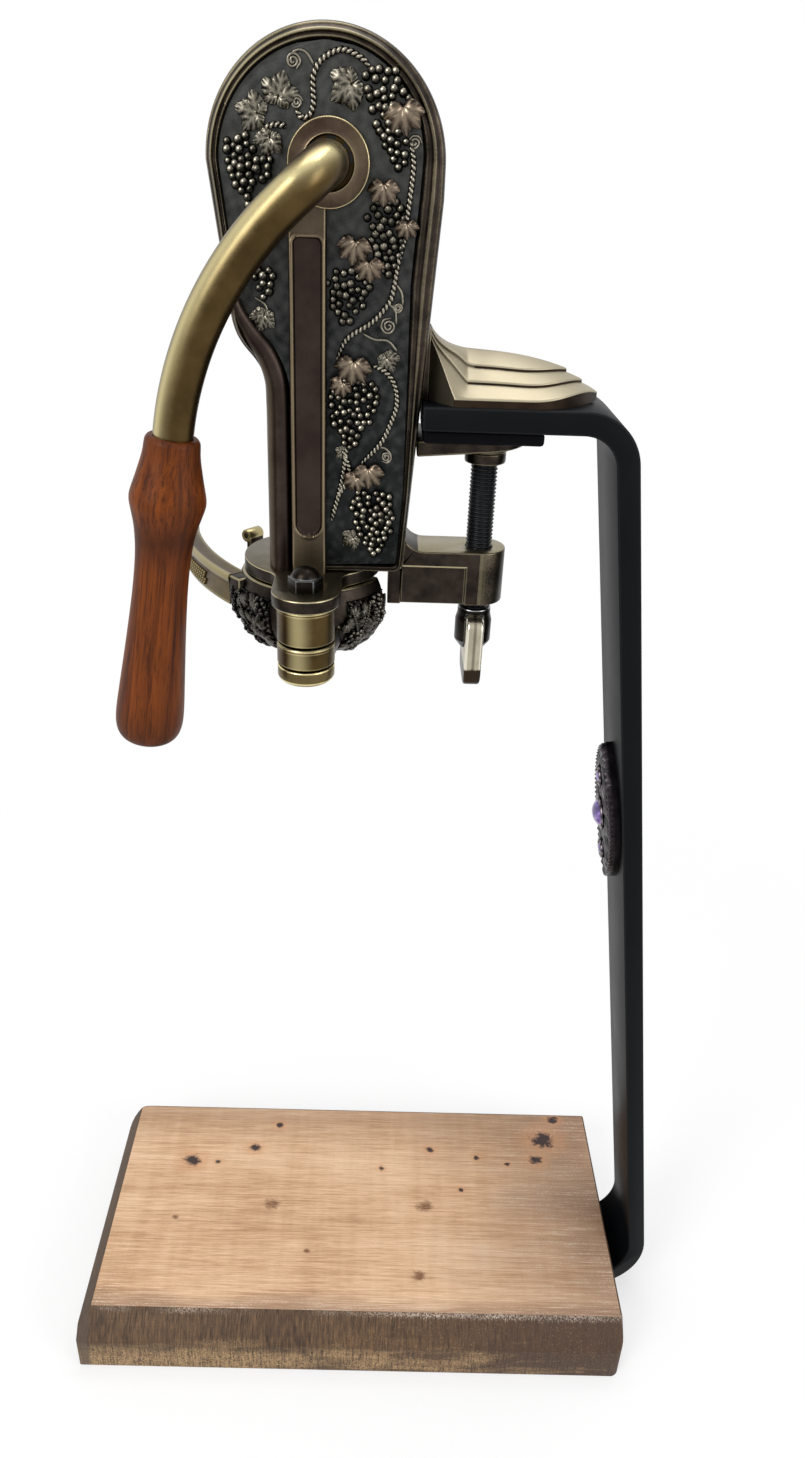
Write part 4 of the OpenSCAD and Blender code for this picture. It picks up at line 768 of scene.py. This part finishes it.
# Leaf: pointed lobes fanned out from the stem, each with a bright midrib and slanting veins
def leaf(shell, u, v, size, turnDeg, kind="full", lift=1.0, stand=0.0, steps=(16, 11)):
    r = leafRule[kind]
    s = np.linspace(0.03, 0.985, steps[0])[:, None]
    t = np.linspace(-1, 1, steps[1])[None]
    head = np.radians(turnDeg)
    u, v = u - r["back"] * size * np.cos(head), v - r["back"] * size * np.sin(head)
    rib = hump(t / r["ridge"])
    vein = 0.5 + 0.5 * np.cos(2 * np.pi * (s * 3.6 - np.abs(t) * 1.2))
    crown = size / 7 * np.sin(np.pi * s ** 0.8) * (1 - 0.5 * t * t)
    rub = (0.07 + 0.34 * rib + 0.3 * r["veins"] * vein ** 2 * (1 - rib)) * (1.1 - 0.4 * s * s)
    for k, (spread, length) in enumerate(r["lobes"]):
        a = head + np.radians(spread)
        run = s * size * length
        wide = r["plump"] * size * length * np.sin(np.pi * s ** 0.7) ** 0.8 * (1 + 0.05 * np.cos(s * 26)) * t
        h = stand + lift * (0.5 + 0.15 * (k % 2) + crown
                            + 0.35 * rib * (1 - s) + 0.25 * r["veins"] * vein * (1 - rib))
        spots = xyz(u + run * np.cos(a) - wide * np.sin(a), v + run * np.sin(a) + wide * np.cos(a), h)
        shell.slab(spots, spots * (1, 1, 0) - (0, 0, 0.4), rub)


# Bunch: grapes thrown into a tapering outline, none closer than a set gap, piled up in the middle
def bunch(shell, u0, u1, top, tip, lean=0.0, g=vineRule["grape"], stand=0.0):
    off, level = draw.uniform(0, 1, (2, vineRule["throws"]))
    off = off - 0.5
    wide = (u1 - u0) * np.interp(level, [0, 0.25, 0.6, 1], [0.7, 1.0, 0.8, 0.15])
    u = (u0 + u1) / 2 + off * wide + lean * level
    v = top + (tip - top) * level
    kept = []
    for k in range(len(u)):
        if np.all(np.hypot(u[k] - u[kept], v[k] - v[kept]) > vineRule["gap"] * g):
            kept.append(k)
    pile = (1 - (2 * off[kept]) ** 2) * np.sin(np.pi * (0.15 + 0.8 * level[kept]))
    h = stand + 0.4 + 1.8 * pile + draw.uniform(0, 0.7, len(kept))
    size = g * draw.uniform(0.86, 1.16, len(kept))
    # painted highlight: a bright dot on each grape on the side towards the highlight's direction, stronger on
    # some grapes
    rub = np.interp(ballLit, [0.4, 0.8, 1.0], [0.02, 0.26, 0.85])
    bright = draw.uniform(0.4, 1.1, len(kept))[:, None, None]
    shell.many(ball, xyz(u[kept], v[kept], h), size, rub[None] * bright)


# Vine: two strands twisted like rope, bright on the strands; thin tendrils are plain
def vine(shell, points, radius=vineRule["vine"], twisted=True, lift=0.9):
    curve = smoothPath([(u, v, lift) for u, v in points], 26 * len(points))
    start, end = vineRule["taper"]
    taper = np.interp(np.linspace(0, 1, len(curve)), [0, 0.08, 0.9, 1], [start, 1, 1, end]) * radius
    rope = (lambda s, a: 0.7 + 0.36 * np.abs(np.cos(a - s * vineRule["twist"] / radius))) if twisted else None
    spots = tube(curve, taper, 14, wave=rope)
    strand = np.linalg.norm(spots - curve[:, None], axis=2) / taper[:, None]
    upper = between(spots[..., 2], lift, lift + radius)
    rub = 0.62 * upper * between(strand, 0.85, 1.05) if twisted else 0.4 * upper
    shell.grid(spots, rub, ring=True, caps=True)


# Curl: a tendril that winds inwards
def curl(shell, u, v, size, start):
    t = np.linspace(0, 1, 15)
    a = start + t * vineRule["curlTurns"] * 2 * np.pi
    r = size * (1 - 0.85 * t)
    spiral = np.stack([u + r * np.cos(a), v + r * np.sin(a)], 1)
    vine(shell, spiral, vineRule["curl"], False, vineRule["low"])


# leaves and fans: x, z, size, heading; bunches: left, right, top, tip, lean; curls: x, z, size
coverVine = {
    "leaves": [(-45.4, 668.4, 8.6, 165), (-36.6, 674.6, 8.6, 75), (-11.5, 677.5, 9.4, 215),
               (-40.4, 659.8, 7.2, 250), (-44, 599, 6.8, 250), (5, 584.5, 6.4, 300), (-8, 510, 6.0, 215),
               (-12.5, 547, 4.2, 150)],
    "fans": [(8.8, 667, 9.8, 280), (1.8, 643, 8.0, 270), (-9, 623, 9.0, 262), (-2.8, 616.4, 7.8, 275),
             (11, 631, 6.0, 272), (-8.8, 579, 10.0, 264), (-14.2, 573, 6.4, 240), (-1.6, 536.8, 9.0, 272),
             (-8, 534.5, 6.8, 245)],
    "fanLift": 1.25, "fanStand": 2.4,
    "bunches": [(-57, -46.5, 661, 638, 3), (-46, -39, 653.5, 647, 0), (-8, 8, 683, 652, 8),
                (-5, 9.6, 641, 615, 2), (-18.5, -1, 617, 598, -2), (-47.5, -38, 617, 606, 0),
                (-17.5, 2.4, 576, 549, -2), (-10, 9.6, 531, 503.5, 2)],
    "vines": [[(-30.4, 669.6), (-28.6, 667.4), (-25.6, 668), (-24.2, 672), (-24.4, 677), (-24, 681),
               (-21, 685.5), (-14, 688.5), (-7, 686), (-4, 683)],
              [(11, 661), (12.5, 654), (12, 646), (11, 637), (10, 628), (8, 620), (6, 608), (3, 603),
               (-2, 598), (-11, 592), (-15, 584)],
              [(-1, 582), (4, 580), (8, 575), (9.3, 567), (6.5, 558), (3, 551), (-5, 542)],
              [(-11, 549), (-12, 539), (-14, 529), (-17, 518)],
              [(-12.4, 548), (-9.6, 538), (-15, 527)],
              [(-42, 663.6), (-38, 664.8), (-34, 664.4)]],
    "tendrils": [[(-31.5, 687.2), (-29, 688), (-26.4, 687), (-24, 683.5)],
                 [(-47, 606), (-43, 603), (-42, 596)], [(8.5, 588), (5, 591.5), (-0.5, 592), (-5, 594)],
                 [(4.6, 605.4), (7.4, 603), (8.1, 598)], [(7, 613), (9.6, 609.6), (10.4, 605)],
                 [(1.2, 549.6), (5, 549.2), (7.8, 546.5)]],
    "curls": [(12.6, 660.5, 2.6), (5, 597, 3.2), (8.6, 604, 1.9), (5.6, 545.5, 2.4), (-31.4, 684.6, 2.7),
              (-30.2, 672, 2.3)],
}


# flat drawing onto the panel: u is x, v is z, height stands out towards the front
def coverSeat(p):
    return xyz(p[:, 0], coverRule["panelY"] - p[:, 2], p[:, 1])


# the fans are a piece of their own, tinted like copper
relief = Shell()
for place in coverVine["leaves"]:
    leaf(relief, *place)
for place in coverVine["bunches"]:
    bunch(relief, *place)
for points in coverVine["vines"]:
    vine(relief, points)
for points in coverVine["tendrils"]:
    vine(relief, points, vineRule["tendril"], False, vineRule["low"])
for k, place in enumerate(coverVine["curls"]):
    curl(relief, *place, vineRule["curlStep"] * k)
relief.make("cover_vine", cast["relief"], "frame", "dark_metal", place=coverSeat, sharp=70)
fans = Shell()
for place in coverVine["fans"]:
    leaf(fans, *place, "fan", coverVine["fanLift"], coverVine["fanStand"])
fans.make("cover_leaves", cast["copper"], "frame", "dark_metal", place=coverSeat, sharp=70)
print("cover relief done")

# Housing, flange and bracket
bodyRule = {"bracketTop": 501.0, "bracketX": 16.0, "bossX": 44.0, "boss": (479, 500), "glint": -1.85,
            "flange": (488.0, 495.8), "flangeY": 10}


# bright arrises and a dull top on the flange, a painted highlight on the bracket top, a painted highlight
# streak on the bracket's end boss
def bodyRubAndSheen(face, rub):
    r = bodyRule
    c = face.calc_center_median() / mm
    n = face.normal
    # painted highlight on the bracket top
    if c.x > r["bracketX"] and abs(c.z - r["bracketTop"]) < 0.6 and n.z > 0.9:
        return 0.5
    # painted highlight: a glint streak at a fixed angle on the boss
    if c.x > r["bossX"] and r["boss"][0] < c.z < r["boss"][1] and abs(n.z) < 0.2:
        return 0.08 + 0.32 * hump((np.arctan2(n.y, n.x) - r["glint"]) / 0.4)
    if r["flange"][0] < c.z < r["flange"][1] and c.y < r["flangeY"]:
        return 0.22 if n.z > 0.9 else rub * 0.75
    return rub * 0.22


dressed("main_body", 0.6, cast["bronze"], "frame", bodyRubAndSheen)
dressed("cover_screws", 0.3, cast["ring"], "frame", shine=0.5)
dressed("shaft_retainer", 0.5, cast["ring"], "lever", shine=0.5)

# Foot: three crowned petals, each a step over the one below: root half width, half width, corner x, nose x
footRule = {"root": 22.6, "tip": 94.5, "base": 567.0, "thick": 3.5, "step": 7.0, "stepH": 1.5, "lap": 0.4,
            "rise": 13.0, "flare": 8.5, "flareL": 4.5, "edgeX": 38.0, "nosePower": 2.6, "end": 0.9985,
            # the flank value is painted light on the flank walls near the root
            "round": 0.6, "flankPaintedLight": 0.36,
            "petals": [(12.0, 24.0, 32.6, 62.0), (10.0, 17.5, 38.2, 58.0), (7.0, 11.0, 41.2, 54.0)]}


# crown(x) (1 - (|y| / half)^power(x)) over the rim
def footHeight(k, x, y):
    r = footRule
    crown = r["rise"] * (1 - ((x - r["root"]) / (r["tip"] - r["root"])) ** 3)
    crown = crown + r["flare"] * np.exp((r["root"] - x) / r["flareL"])
    power = 1.35 + 4.5 * (np.maximum(0, r["edgeX"] - x) / (r["edgeX"] - r["root"])) ** 1.2
    lift = crown * (1 - np.minimum(1, np.abs(y) / r["petals"][0][1]) ** power)
    return r["base"] + r["thick"] + k * r["stepH"] + lift


# pale top, partly painted highlight, a little darker towards the root, with a painted highlight along the
# rim; the flank walls near the root get painted light
def petal(shell, k):
    r = footRule
    rootW, half, corner, nose = r["petals"][k]
    tip = r["tip"] - k * r["step"]
    x = np.concatenate([np.linspace(r["root"], corner, 26)[:-1],
                        np.linspace(corner, corner + r["end"] * (tip - corner), 90)])
    flank = rootW + (half - rootW) * (x - r["root"]) / (corner - r["root"])
    past = half * (1 - (np.maximum(0, x - nose) / (tip - nose)) ** r["nosePower"])
    wide = np.where(x < corner, flank, past)[:, None]
    y = wide * np.sin(np.linspace(-np.pi / 2, np.pi / 2, 61))[None]
    x = x[:, None]
    dip = between(np.abs(y), wide - r["round"], wide)
    z = footHeight(k, x, y) - r["round"] * (1 - np.sqrt(1 - 0.98 * dip ** 2))
    under = footHeight(k - 1, x, y) - r["lap"] if k else r["base"]
    rub = 0.9 - 0.4 * np.exp((r["root"] - x) / 6.0) + 0.1 * dip - 0.12 * hump((x - corner - 3) / 5.0)
    shell.slab(xyz(x, y, z), xyz(x, y, under), rub, np.where(x < corner, r["flankPaintedLight"], 0.0))


foot = Shell()
for k in range(len(footRule["petals"])):
    petal(foot, k)
foot.make("foot_petals", cast["pale"], "frame", "brass", ("clamp_foot",), sharp=40)
print("housing and foot done")

# Jaws, with leaf and grape relief on their bulged outsides: heights of its ground, rows and vine
jawRule = {"axis": (-26.5, 0.0), "out": 35.0, "bulge": 24.0, "bulgeZ": 476.53, "sink": 0.4,
           "arc": np.radians(34.0), "ground": (455.4, 483.4), "margin": 0.6,
           "rows": (457.6, 464.4, 471.6, 479.0), "step": 5.2,
           "leaf": (4.8, 6.2), "leafLift": 1.3, "leafSteps": (12, 9),
           "bunch": (3.2, 4.2), "grape": 1.15, "grapeStand": 1.2, "vineZ": 474.0, "vineWave": 8.0,
           # where the relief starts and ends, in degrees round the bottle's axis
           "left": (173, 242), "right": (298, 339)}


# u runs round the bottle's axis, arc mm to a degree, v is z, height stands out from the bulge
def jawSeat(p):
    r = jawRule
    dz = np.clip((p[:, 1] - r["bulgeZ"]) / r["bulge"], -0.98, 0.98)
    reach = r["out"] - r["bulge"] + r["bulge"] * np.sqrt(1 - dz * dz) - r["sink"] + p[:, 2]
    a = np.radians(p[:, 0] / r["arc"])
    return around(r["axis"], reach, a, p[:, 1])


# Crumpled ground |sin cos|, then rows of leaves piled on it with a bunch at every fourth place
def jawRelief(side, body):
    r = jawRule
    shell = Shell()
    first, last = (degree * r["arc"] for degree in r[side])
    u = np.linspace(first + r["margin"], last - r["margin"], 70)[:, None]
    v = np.linspace(*r["ground"], 36)[None]
    bump = np.abs(np.sin(1.25 * u + 1.4 * np.sin(v * 0.9)) * np.cos(1.05 * v + 1.7 * np.sin(u * 0.7)))
    spots = xyz(u, v, 0.4 + 1.5 * bump)
    shell.slab(spots, spots * (1, 1, 0) - (0, 0, 0.4), 0.55 * bump ** 3)
    half, tall = r["bunch"]
    for row, v in enumerate(r["rows"]):
        for k, u in enumerate(np.arange(first + r["step"] / 2 * (1 + row % 2), last - 2.2, r["step"])):
            if (k + row) % 4 == 1:
                bunch(shell, u - half, u + half, v + tall, v - tall, 0.0, r["grape"], r["grapeStand"])
            else:
                leaf(shell, u + draw.uniform(-0.6, 0.6), v + draw.uniform(-0.8, 0.8),
                     draw.uniform(*r["leaf"]), draw.uniform(0, 360), "fan", r["leafLift"],
                     draw.uniform(0.4, 1.4), r["leafSteps"])
    u = np.linspace(first + 1.5, last - 1.5, 9)
    wave = r["vineZ"] + r["vineWave"] * np.cos(np.arange(9) * np.pi / 2)
    vine(shell, np.stack([u, wave], 1), 0.7, True, 2.4)
    shell.make(side + "_jaw_vine", cast["jaws"], body, "dark_metal", place=jawSeat, sharp=70)


dressed("left_jaw", 0.7, cast["bronze"], "left_jaw", shine=0.5, hollows=False)
for liner, body in (("left_liner", "left_jaw"), ("right_liner", "right_jaw")):
    dressed(liner, 0.5, black["rubber"], body)
dressed("right_jaw", 0.7, cast["bronze"], "right_jaw", shine=0.5, hollows=False)
jawRelief("left", "left_jaw")
jawRelief("right", "right_jaw")

# Brass sleeves of the hinge knuckles, with a turned bead at the top
hingeRule = {"at": (-26.5, -46.0, 0.0), "r": 12.42, "sides": 80, "glint": -1.78,
             "left": (473.1, 488.7), "right": (462.6, 471.9)}


# profile: radius, z, rub; the bright lines at the bead and chamfers are painted highlights
def sleeve(side, body):
    at, r = hingeRule["at"], hingeRule["r"]
    low, high = hingeRule[side]
    profile = np.array([(r - 1.2, low, 0.1), (r - 0.4, low + 0.1, 0.5), (r, low + 0.5, 0.6),
                        (r, low + 1.0, 0.2), (r, high - 2.2, 0.2), (r, high - 1.7, 0.7),
                        (r - 0.1, high - 1.5, 0.0),
                        (r - 0.1, high - 1.1, 0.0), (r, high - 0.9, 0.9), (r - 0.1, high - 0.3, 0.9),
                        (r - 0.5, high - 0.05, 0.4), (r - 1.2, high, 0.0)])
    spots = turned(profile, at, (0, 0, 1), hingeRule["sides"])
    a = np.arctan2(spots[0, :, 1] - at[1], spots[0, :, 0] - at[0])
    # painted highlight: a glint band at a fixed angle round the sleeve, the sides darker
    glint = 0.42 * hump((a - hingeRule["glint"]) / 0.34)
    shell = Shell()
    shell.grid(spots, profile[:, 2][:, None] * 0.6 - 0.1 + glint[None], ring=True, loop=True)
    shell.make(side + "_sleeve", cast["brass"], body, "brass", sharp=50)


sleeve("left", "left_jaw")
sleeve("right", "right_jaw")

# Brass cladding of the left jaw's handle: section (radius, z, rub) swept about a far centre, in degrees
handleRule = {"centre": (46.5, 85.0), "from": 221.0, "to": 185.6, "steps": 60,
              "section": [(137.9, 472.9, 0.2), (146.1, 472.9, 0.4), (146.3, 473.6, 0.7), (146.1, 474.6, 0.25),
                          (146.1, 477.0, 0.2), (146.1, 482.4, 0.2), (146.1, 483.0, 0.0), (146.1, 483.6, 0.0),
                          (146.5, 484.2, 0.6), (146.6, 486.0, 0.8), (146.2, 487.2, 1.0), (145.2, 487.5, 0.8),
                          (144.4, 487.15, 0.05), (143.6, 487.15, 0.1), (139.4, 487.15, 0.25),
                          (138.6, 487.4, 0.7), (137.9, 487.1, 0.4)],
              # staggered rows of small beads on the outer face, from degrees to degrees
              "beadRows": (475.6, 477.4, 479.2, 481.0), "beads": (203.0, 212.0), "beadStep": 2.4,
              "beadSeat": 146.0, "beadArc": 146.3, "beadSize": 1.0, "beadSink": 0.2}
r = handleRule
a = np.radians(np.linspace(r["from"], r["to"], r["steps"]))
section = np.array(r["section"])
handle = Shell()
handle.grid(around(r["centre"], section[:, 0], a[:, None], section[:, 1]), section[:, 2] * 0.45,
            ring=True, caps=True)
handle.make("handle_band", cast["brass"], "left_jaw", "brass", sharp=45)
beads = Shell()
first, last = (degree * np.radians(r["beadArc"]) for degree in r["beads"])
# painted highlight: a bright dot on each bead, as on the grapes
beadHighlight = np.interp(ballLit, [0.2, 0.8, 1.0], [0.0, 0.3, 0.8])
for row, v in enumerate(r["beadRows"]):
    u = np.arange(first + r["beadStep"] / 2 * (row % 2), last, r["beadStep"])
    beads.many(ball, xyz(u, v, r["beadSink"]), np.full(len(u), r["beadSize"]), beadHighlight)


# u runs round the far centre in mm, v is z, height stands out from the handle
def handleSeat(p):
    r = handleRule
    return around(r["centre"], r["beadSeat"] + p[:, 2], p[:, 0] / r["beadArc"], p[:, 1])


beads.make("handle_beads", cast["brass"], "left_jaw", "brass", place=handleSeat, sharp=70)

# Rolled edge of the right jaw's thumb tab: radius, distance along, rub
tabRule = {"angle": 142.0, "reach": 43.0, "z": 493.0, "start": 9.1, "sides": 40, "shine": 0.55,
           "profile": [(0.8, 0.3, 0.1), (1.6, 0.0, 0.7), (2.8, 0.05, 0.9), (3.12, 0.5, 1.0),
                       (3.12, 8.7, 0.75), (2.8, 9.15, 0.9), (1.6, 9.2, 0.6), (0.8, 8.9, 0.1)]}
r = tabRule
out = np.array([np.cos(np.radians(r["angle"])), np.sin(np.radians(r["angle"])), 0.0])
across = np.array([-out[1], out[0], 0.0])
base = np.array([*jawRule["axis"], r["z"]]) + out * r["reach"] - across * r["start"]
profile = np.array(r["profile"])
roll = Shell()
roll.grid(turned(profile, base, across, r["sides"]), r["shine"] * profile[:, 2][:, None],
          ring=True, caps=True)
roll.make("tab_roll", cast["brass"], "right_jaw", "brass", sharp=45)
print("jaws done")

# Hinge pin's nut and cap
dressed("acorn_nut", 0.4, cast["hub"], "frame", shine=0.3)
dressed("pin_cap", 0.6, cast["brass"], "frame", plain=0.12)

# Clamp; the hub's sloping top gets a painted reflection, pale and cool
hubRule = {"slope": (0.35, 0.95), "above": 464.0, "bright": 0.85, "dull": 0.4}


def hubRubAndReflection(face, rub):
    slope = hubRule["slope"][0] < face.normal.z < hubRule["slope"][1]
    high = face.calc_center_median().z > hubRule["above"] * mm
    return hubRule["bright"] if slope and high else hubRule["dull"] * rub


dressed("clamp_plate", 0.8, cast["bronze"], "clamp_shoe", shine=0.3, plain=0.03)
dressed("clamp_pad", 1.4, black["rubber"], "clamp_shoe")
dressed("swivel_washer", 0.7, cast["bronze"], "clamp_screw", shine=0.25)
dressed("wing_hub", 0.6, cast["hub"], "clamp_screw", hubRubAndReflection)
dressed("thumb_wing", 1.2, cast["wing"], "clamp_screw", segments=3, plain=0.35)

# Thread: radius falls by a triangle wave of (turns of z + share of the angle)
screwRule = {"x": 49.0, "low": 457.0, "high": 539.4, "radius": 6.0, "depth": 0.85, "pitch": 1.75,
             "sides": 40, "rows": 470}
r = screwRule
screwZ = np.linspace(r["low"], r["high"], r["rows"])
screwA = np.linspace(0, 2 * np.pi, r["sides"], endpoint=False)
phase = (screwZ[:, None] / r["pitch"] + screwA[None] / (2 * np.pi)) % 1.0
ridge = 1 - np.abs(2 * phase - 1)
screwR = r["radius"] - r["depth"] * (1 - ridge)
thread = Shell()
thread.grid(around((r["x"], 0.0), screwR, screwA, screwZ[:, None]), ridge ** 4, ring=True, caps=True)
thread.make("screw_thread", black["screw"], "clamp_screw", "black_steel", ("clamp_screw",), sharp=60)
print("clamp done")

# Badge: a pointed oval with a beaded rim, rays and three domed stones: place along it, radius
badgeRule = {"centre": (129.4, 0.0, 359.0), "lean": 8.5, "half": 42.0, "wide": 21.0, "thick": 5.0,
             "rows": 181, "columns": 89, "rays": 24, "stones": [(0.0, 7.5), (22.7, 4.1), (-22.7, 4.1)],
             "collar": 0.9, "collarH": 7.0, "stoneH": 5.2, "dome": 0.78}
lean = np.radians(badgeRule["lean"])
badgeUp = np.array([-np.sin(lean), 0.0, np.cos(lean)])
badgeOut = np.array([-np.cos(lean), 0.0, -np.sin(lean)])


# across the bar, up along its lean, height out from its inner face
def badgeSeat(p):
    return np.array(badgeRule["centre"]) + p @ np.array([(0.0, -1.0, 0.0), badgeUp, badgeOut])


# e is 0 at the middle and 1 at the rim; rays round the middle and a scroll of sines fill the raised field
def badge():
    r = badgeRule
    big = (r["half"] ** 2 + r["wide"] ** 2) / (2 * r["wide"])
    v = np.linspace(-1, 1, r["rows"]) * r["half"] * 0.998
    w = np.sqrt(big ** 2 - v ** 2) - (big - r["wide"])
    u = np.linspace(-1, 1, r["columns"])
    x = w[:, None] * u[None]
    y = v[:, None]
    e = (np.abs(u)[None] ** 6 + (np.abs(y) / r["half"]) ** 6) ** (1 / 6)
    rays = 0.5 + 0.5 * np.cos(np.arctan2(x, y) * r["rays"])
    rimBead = hump((e - 0.93) / 0.045) * (0.7 + 0.3 * np.cos(y * 2.1))
    field = 1 / (1 + np.exp((e - 0.78) * 40))
    scroll = np.sin(y * 0.55 + 2.2 * np.sin(np.abs(x) * 0.5)) * np.cos(np.abs(x) * 0.8)
    h = r["thick"] + 1.3 * rimBead + field * (1.1 + 0.5 * rays * (1 - e) + 0.5 * scroll)
    h = np.where(e > 0.985, r["thick"] * 0.6, h)
    rub = np.clip(0.04 + 0.4 * rimBead + field * (0.35 * scroll + 0.15 * rays), 0, 1)
    shell = Shell()
    shell.slab(xyz(x, y, h), xyz(x, y, 0), rub)
    t = np.linspace(0, 2 * np.pi, 60, endpoint=False)
    k = np.linspace(0, 2 * np.pi, 8, endpoint=False)[:, None]
    for spot, size in r["stones"]:
        reach = size + 0.5 + r["collar"] * np.cos(k)
        collar = around((0.0, spot), reach, t, r["collarH"] + r["collar"] * np.sin(k))
        shell.grid(collar, 0.55 + 0.4 * np.cos(t * 10)[None], ring=True, loop=True)
    return shell


badge().make("badge", cast["pewter"], "frame", "dark_metal", ("badge_plate",), badgeSeat, sharp=50)
stones = Shell()
for spot, size in badgeRule["stones"]:
    t = np.linspace(0.02, 1, 16) * np.pi / 2
    dome = np.stack([size * np.sin(t), badgeRule["stoneH"] + size * badgeRule["dome"] * np.cos(t)], 1)
    stones.grid(turned(dome, (0.0, spot, 0.0), (0, 0, 1), 48), ring=True, caps=True)
stones.make("badge_cabochons", stone, "frame", "stone", ("badge_stones",), badgeSeat, sharp=50)
print("badge done")

# Parts inside, which keep their CAD shape
insideSteel = ("wood_screws", "idler_pin", "guide_pins", "hinge_pin", "crank_shaft", "drive_gear", "gear_pin",
               "idler_pinion", "rack_carrier", "worm", "worm_collar")
insideBrass = ("front_bush", "rear_bush", "worm_nut", "bottle_bell", "thrust_washer")
for names, finish in ((insideSteel, steel), (insideBrass, cast["brass"])):
    for name in names:
        nodes[name].data.materials.clear()
        nodes[name].data.materials.append(finish)

# Floor and light: lamps as name, place, aim, size (m) and power (W)
studioRule = {"floor": 6.0, "floorShade": 0.92, "floorWhite": (0.62, 0.22, 0.7), "ambient": 0.55,
              "lamps": [("key", (-1.3, -1.5, 1.7), (0, 0, 0.45), (0.9, 1.2), 26.0),
                        ("fill", (1.6, -1.2, 1.1), (0, 0, 0.4), (0.9, 1.2), 12.0),
                        ("top", (0.1, 0.3, 2.2), (0, 0, 0.3), (1.2, 1.2), 16.0)]}
white = (1.0, 1.0, 1.0, 1.0)


# 1 for camera, glossy and transmission rays
def seenRay(owner):
    camera, glossy, clear = (owner.node("ShaderNodeLightPath", out=key)
                             for key in ("Is Camera Ray", "Is Glossy Ray", "Is Transmission Ray"))
    return camera.top(glossy).top(clear)


# the floor fades into the white background away from the object
def paleFloor():
    f = Finish("pale_floor")
    start, near, far = studioRule["floorWhite"]
    lit = f.node("ShaderNodeBsdfDiffuse", None, {"Color": (*[studioRule["floorShade"]] * 3, 1.0)})
    glow = f.node("ShaderNodeEmission", None, {"Color": white, "Strength": 1.0})
    away = f.node("ShaderNodeVectorMath", {"operation": "LENGTH"}, {0: f.place}, out="Value")
    share = seenRay(f) * (start + away.span(near, far) * (1 - start))
    return f.show(f.node("ShaderNodeMixShader", None, {0: share, 1: lit, 2: glow}))


half = studioRule["floor"] / 2
floorMesh = bpy.data.meshes.new("floor")
floorMesh.from_pydata([(-half, -half, 0), (half, -half, 0), (half, half, 0), (-half, half, 0)], [],
                      [(0, 1, 2, 3)])
floorMesh.materials.append(paleFloor())
floor = linked("floor", floorMesh)

world = bpy.data.worlds.new("studio")
bpy.context.scene.world = world
sky = Finish("studio", world)
strength = studioRule["ambient"] + seenRay(sky) * (1.0 - studioRule["ambient"])
glow = sky.node("ShaderNodeBackground", None, {"Color": white, "Strength": strength})
sky.show(glow, "ShaderNodeOutputWorld")


# Matrix of three axes, as columns, and a place
def standing(axes, place):
    return Matrix(np.vstack([np.column_stack([axes, place]), [0, 0, 0, 1]]).tolist())


# Area lamp at a place, aimed at a point
def softLamp(name, place, aim, size, power):
    lamp = bpy.data.lights.new(name, "AREA")
    lamp.shape = "RECTANGLE"
    lamp.size, lamp.size_y = size
    lamp.energy = power
    away = np.subtract(place, aim)
    away = away / np.linalg.norm(away)
    right = np.cross((0, 0, 1) if abs(away[2]) < 0.95 else (0, 1, 0), away)
    right /= np.linalg.norm(right)
    linked(name, lamp).matrix_world = standing(np.column_stack([right, np.cross(away, right), away]), place)


for lampRow in studioRule["lamps"]:
    softLamp(*lampRow)

# Camera of the photograph: yaw, pitch and roll in degrees, place in mm, focal length and height in pixels
cameraRule = {"yaw": -0.75, "pitch": 28.11, "roll": 1.98, "place": (4.5, -455.2, 655.6), "focal": 1041.7,
              "tall": 1458, "sensor": 36.0, "shift": (0.0098, -0.0103)}


def viewMatrix(yaw, pitch, roll):
    a, b, c = np.radians([yaw, pitch, roll])
    level = np.array([[np.cos(a), np.sin(a), 0], [-np.sin(a), np.cos(a), 0], [0, 0, 1]])
    stand = np.array([[1, 0, 0], [0, 0, -1], [0, 1, 0]])
    nod = np.array([[1, 0, 0], [0, np.cos(b), -np.sin(b)], [0, np.sin(b), np.cos(b)]])
    tip = np.array([[np.cos(c), -np.sin(c), 0], [np.sin(c), np.cos(c), 0], [0, 0, 1]])
    return tip @ nod @ stand @ level


r = cameraRule
lens = bpy.data.cameras.new("photo_camera")
lens.sensor_width = r["sensor"]
lens.lens = r["focal"] * r["sensor"] / r["tall"]
lens.shift_x, lens.shift_y = r["shift"]
lens.clip_start = 0.01
camera = linked("photo_camera", lens)
camera.matrix_world = standing(viewMatrix(r["yaw"], r["pitch"], r["roll"]).T @ np.diag([1, -1, -1]),
                               np.array(r["place"]) * mm)
bpy.context.scene.camera = camera
bpy.context.scene.view_settings.view_transform = "Standard"

print("scene ready")
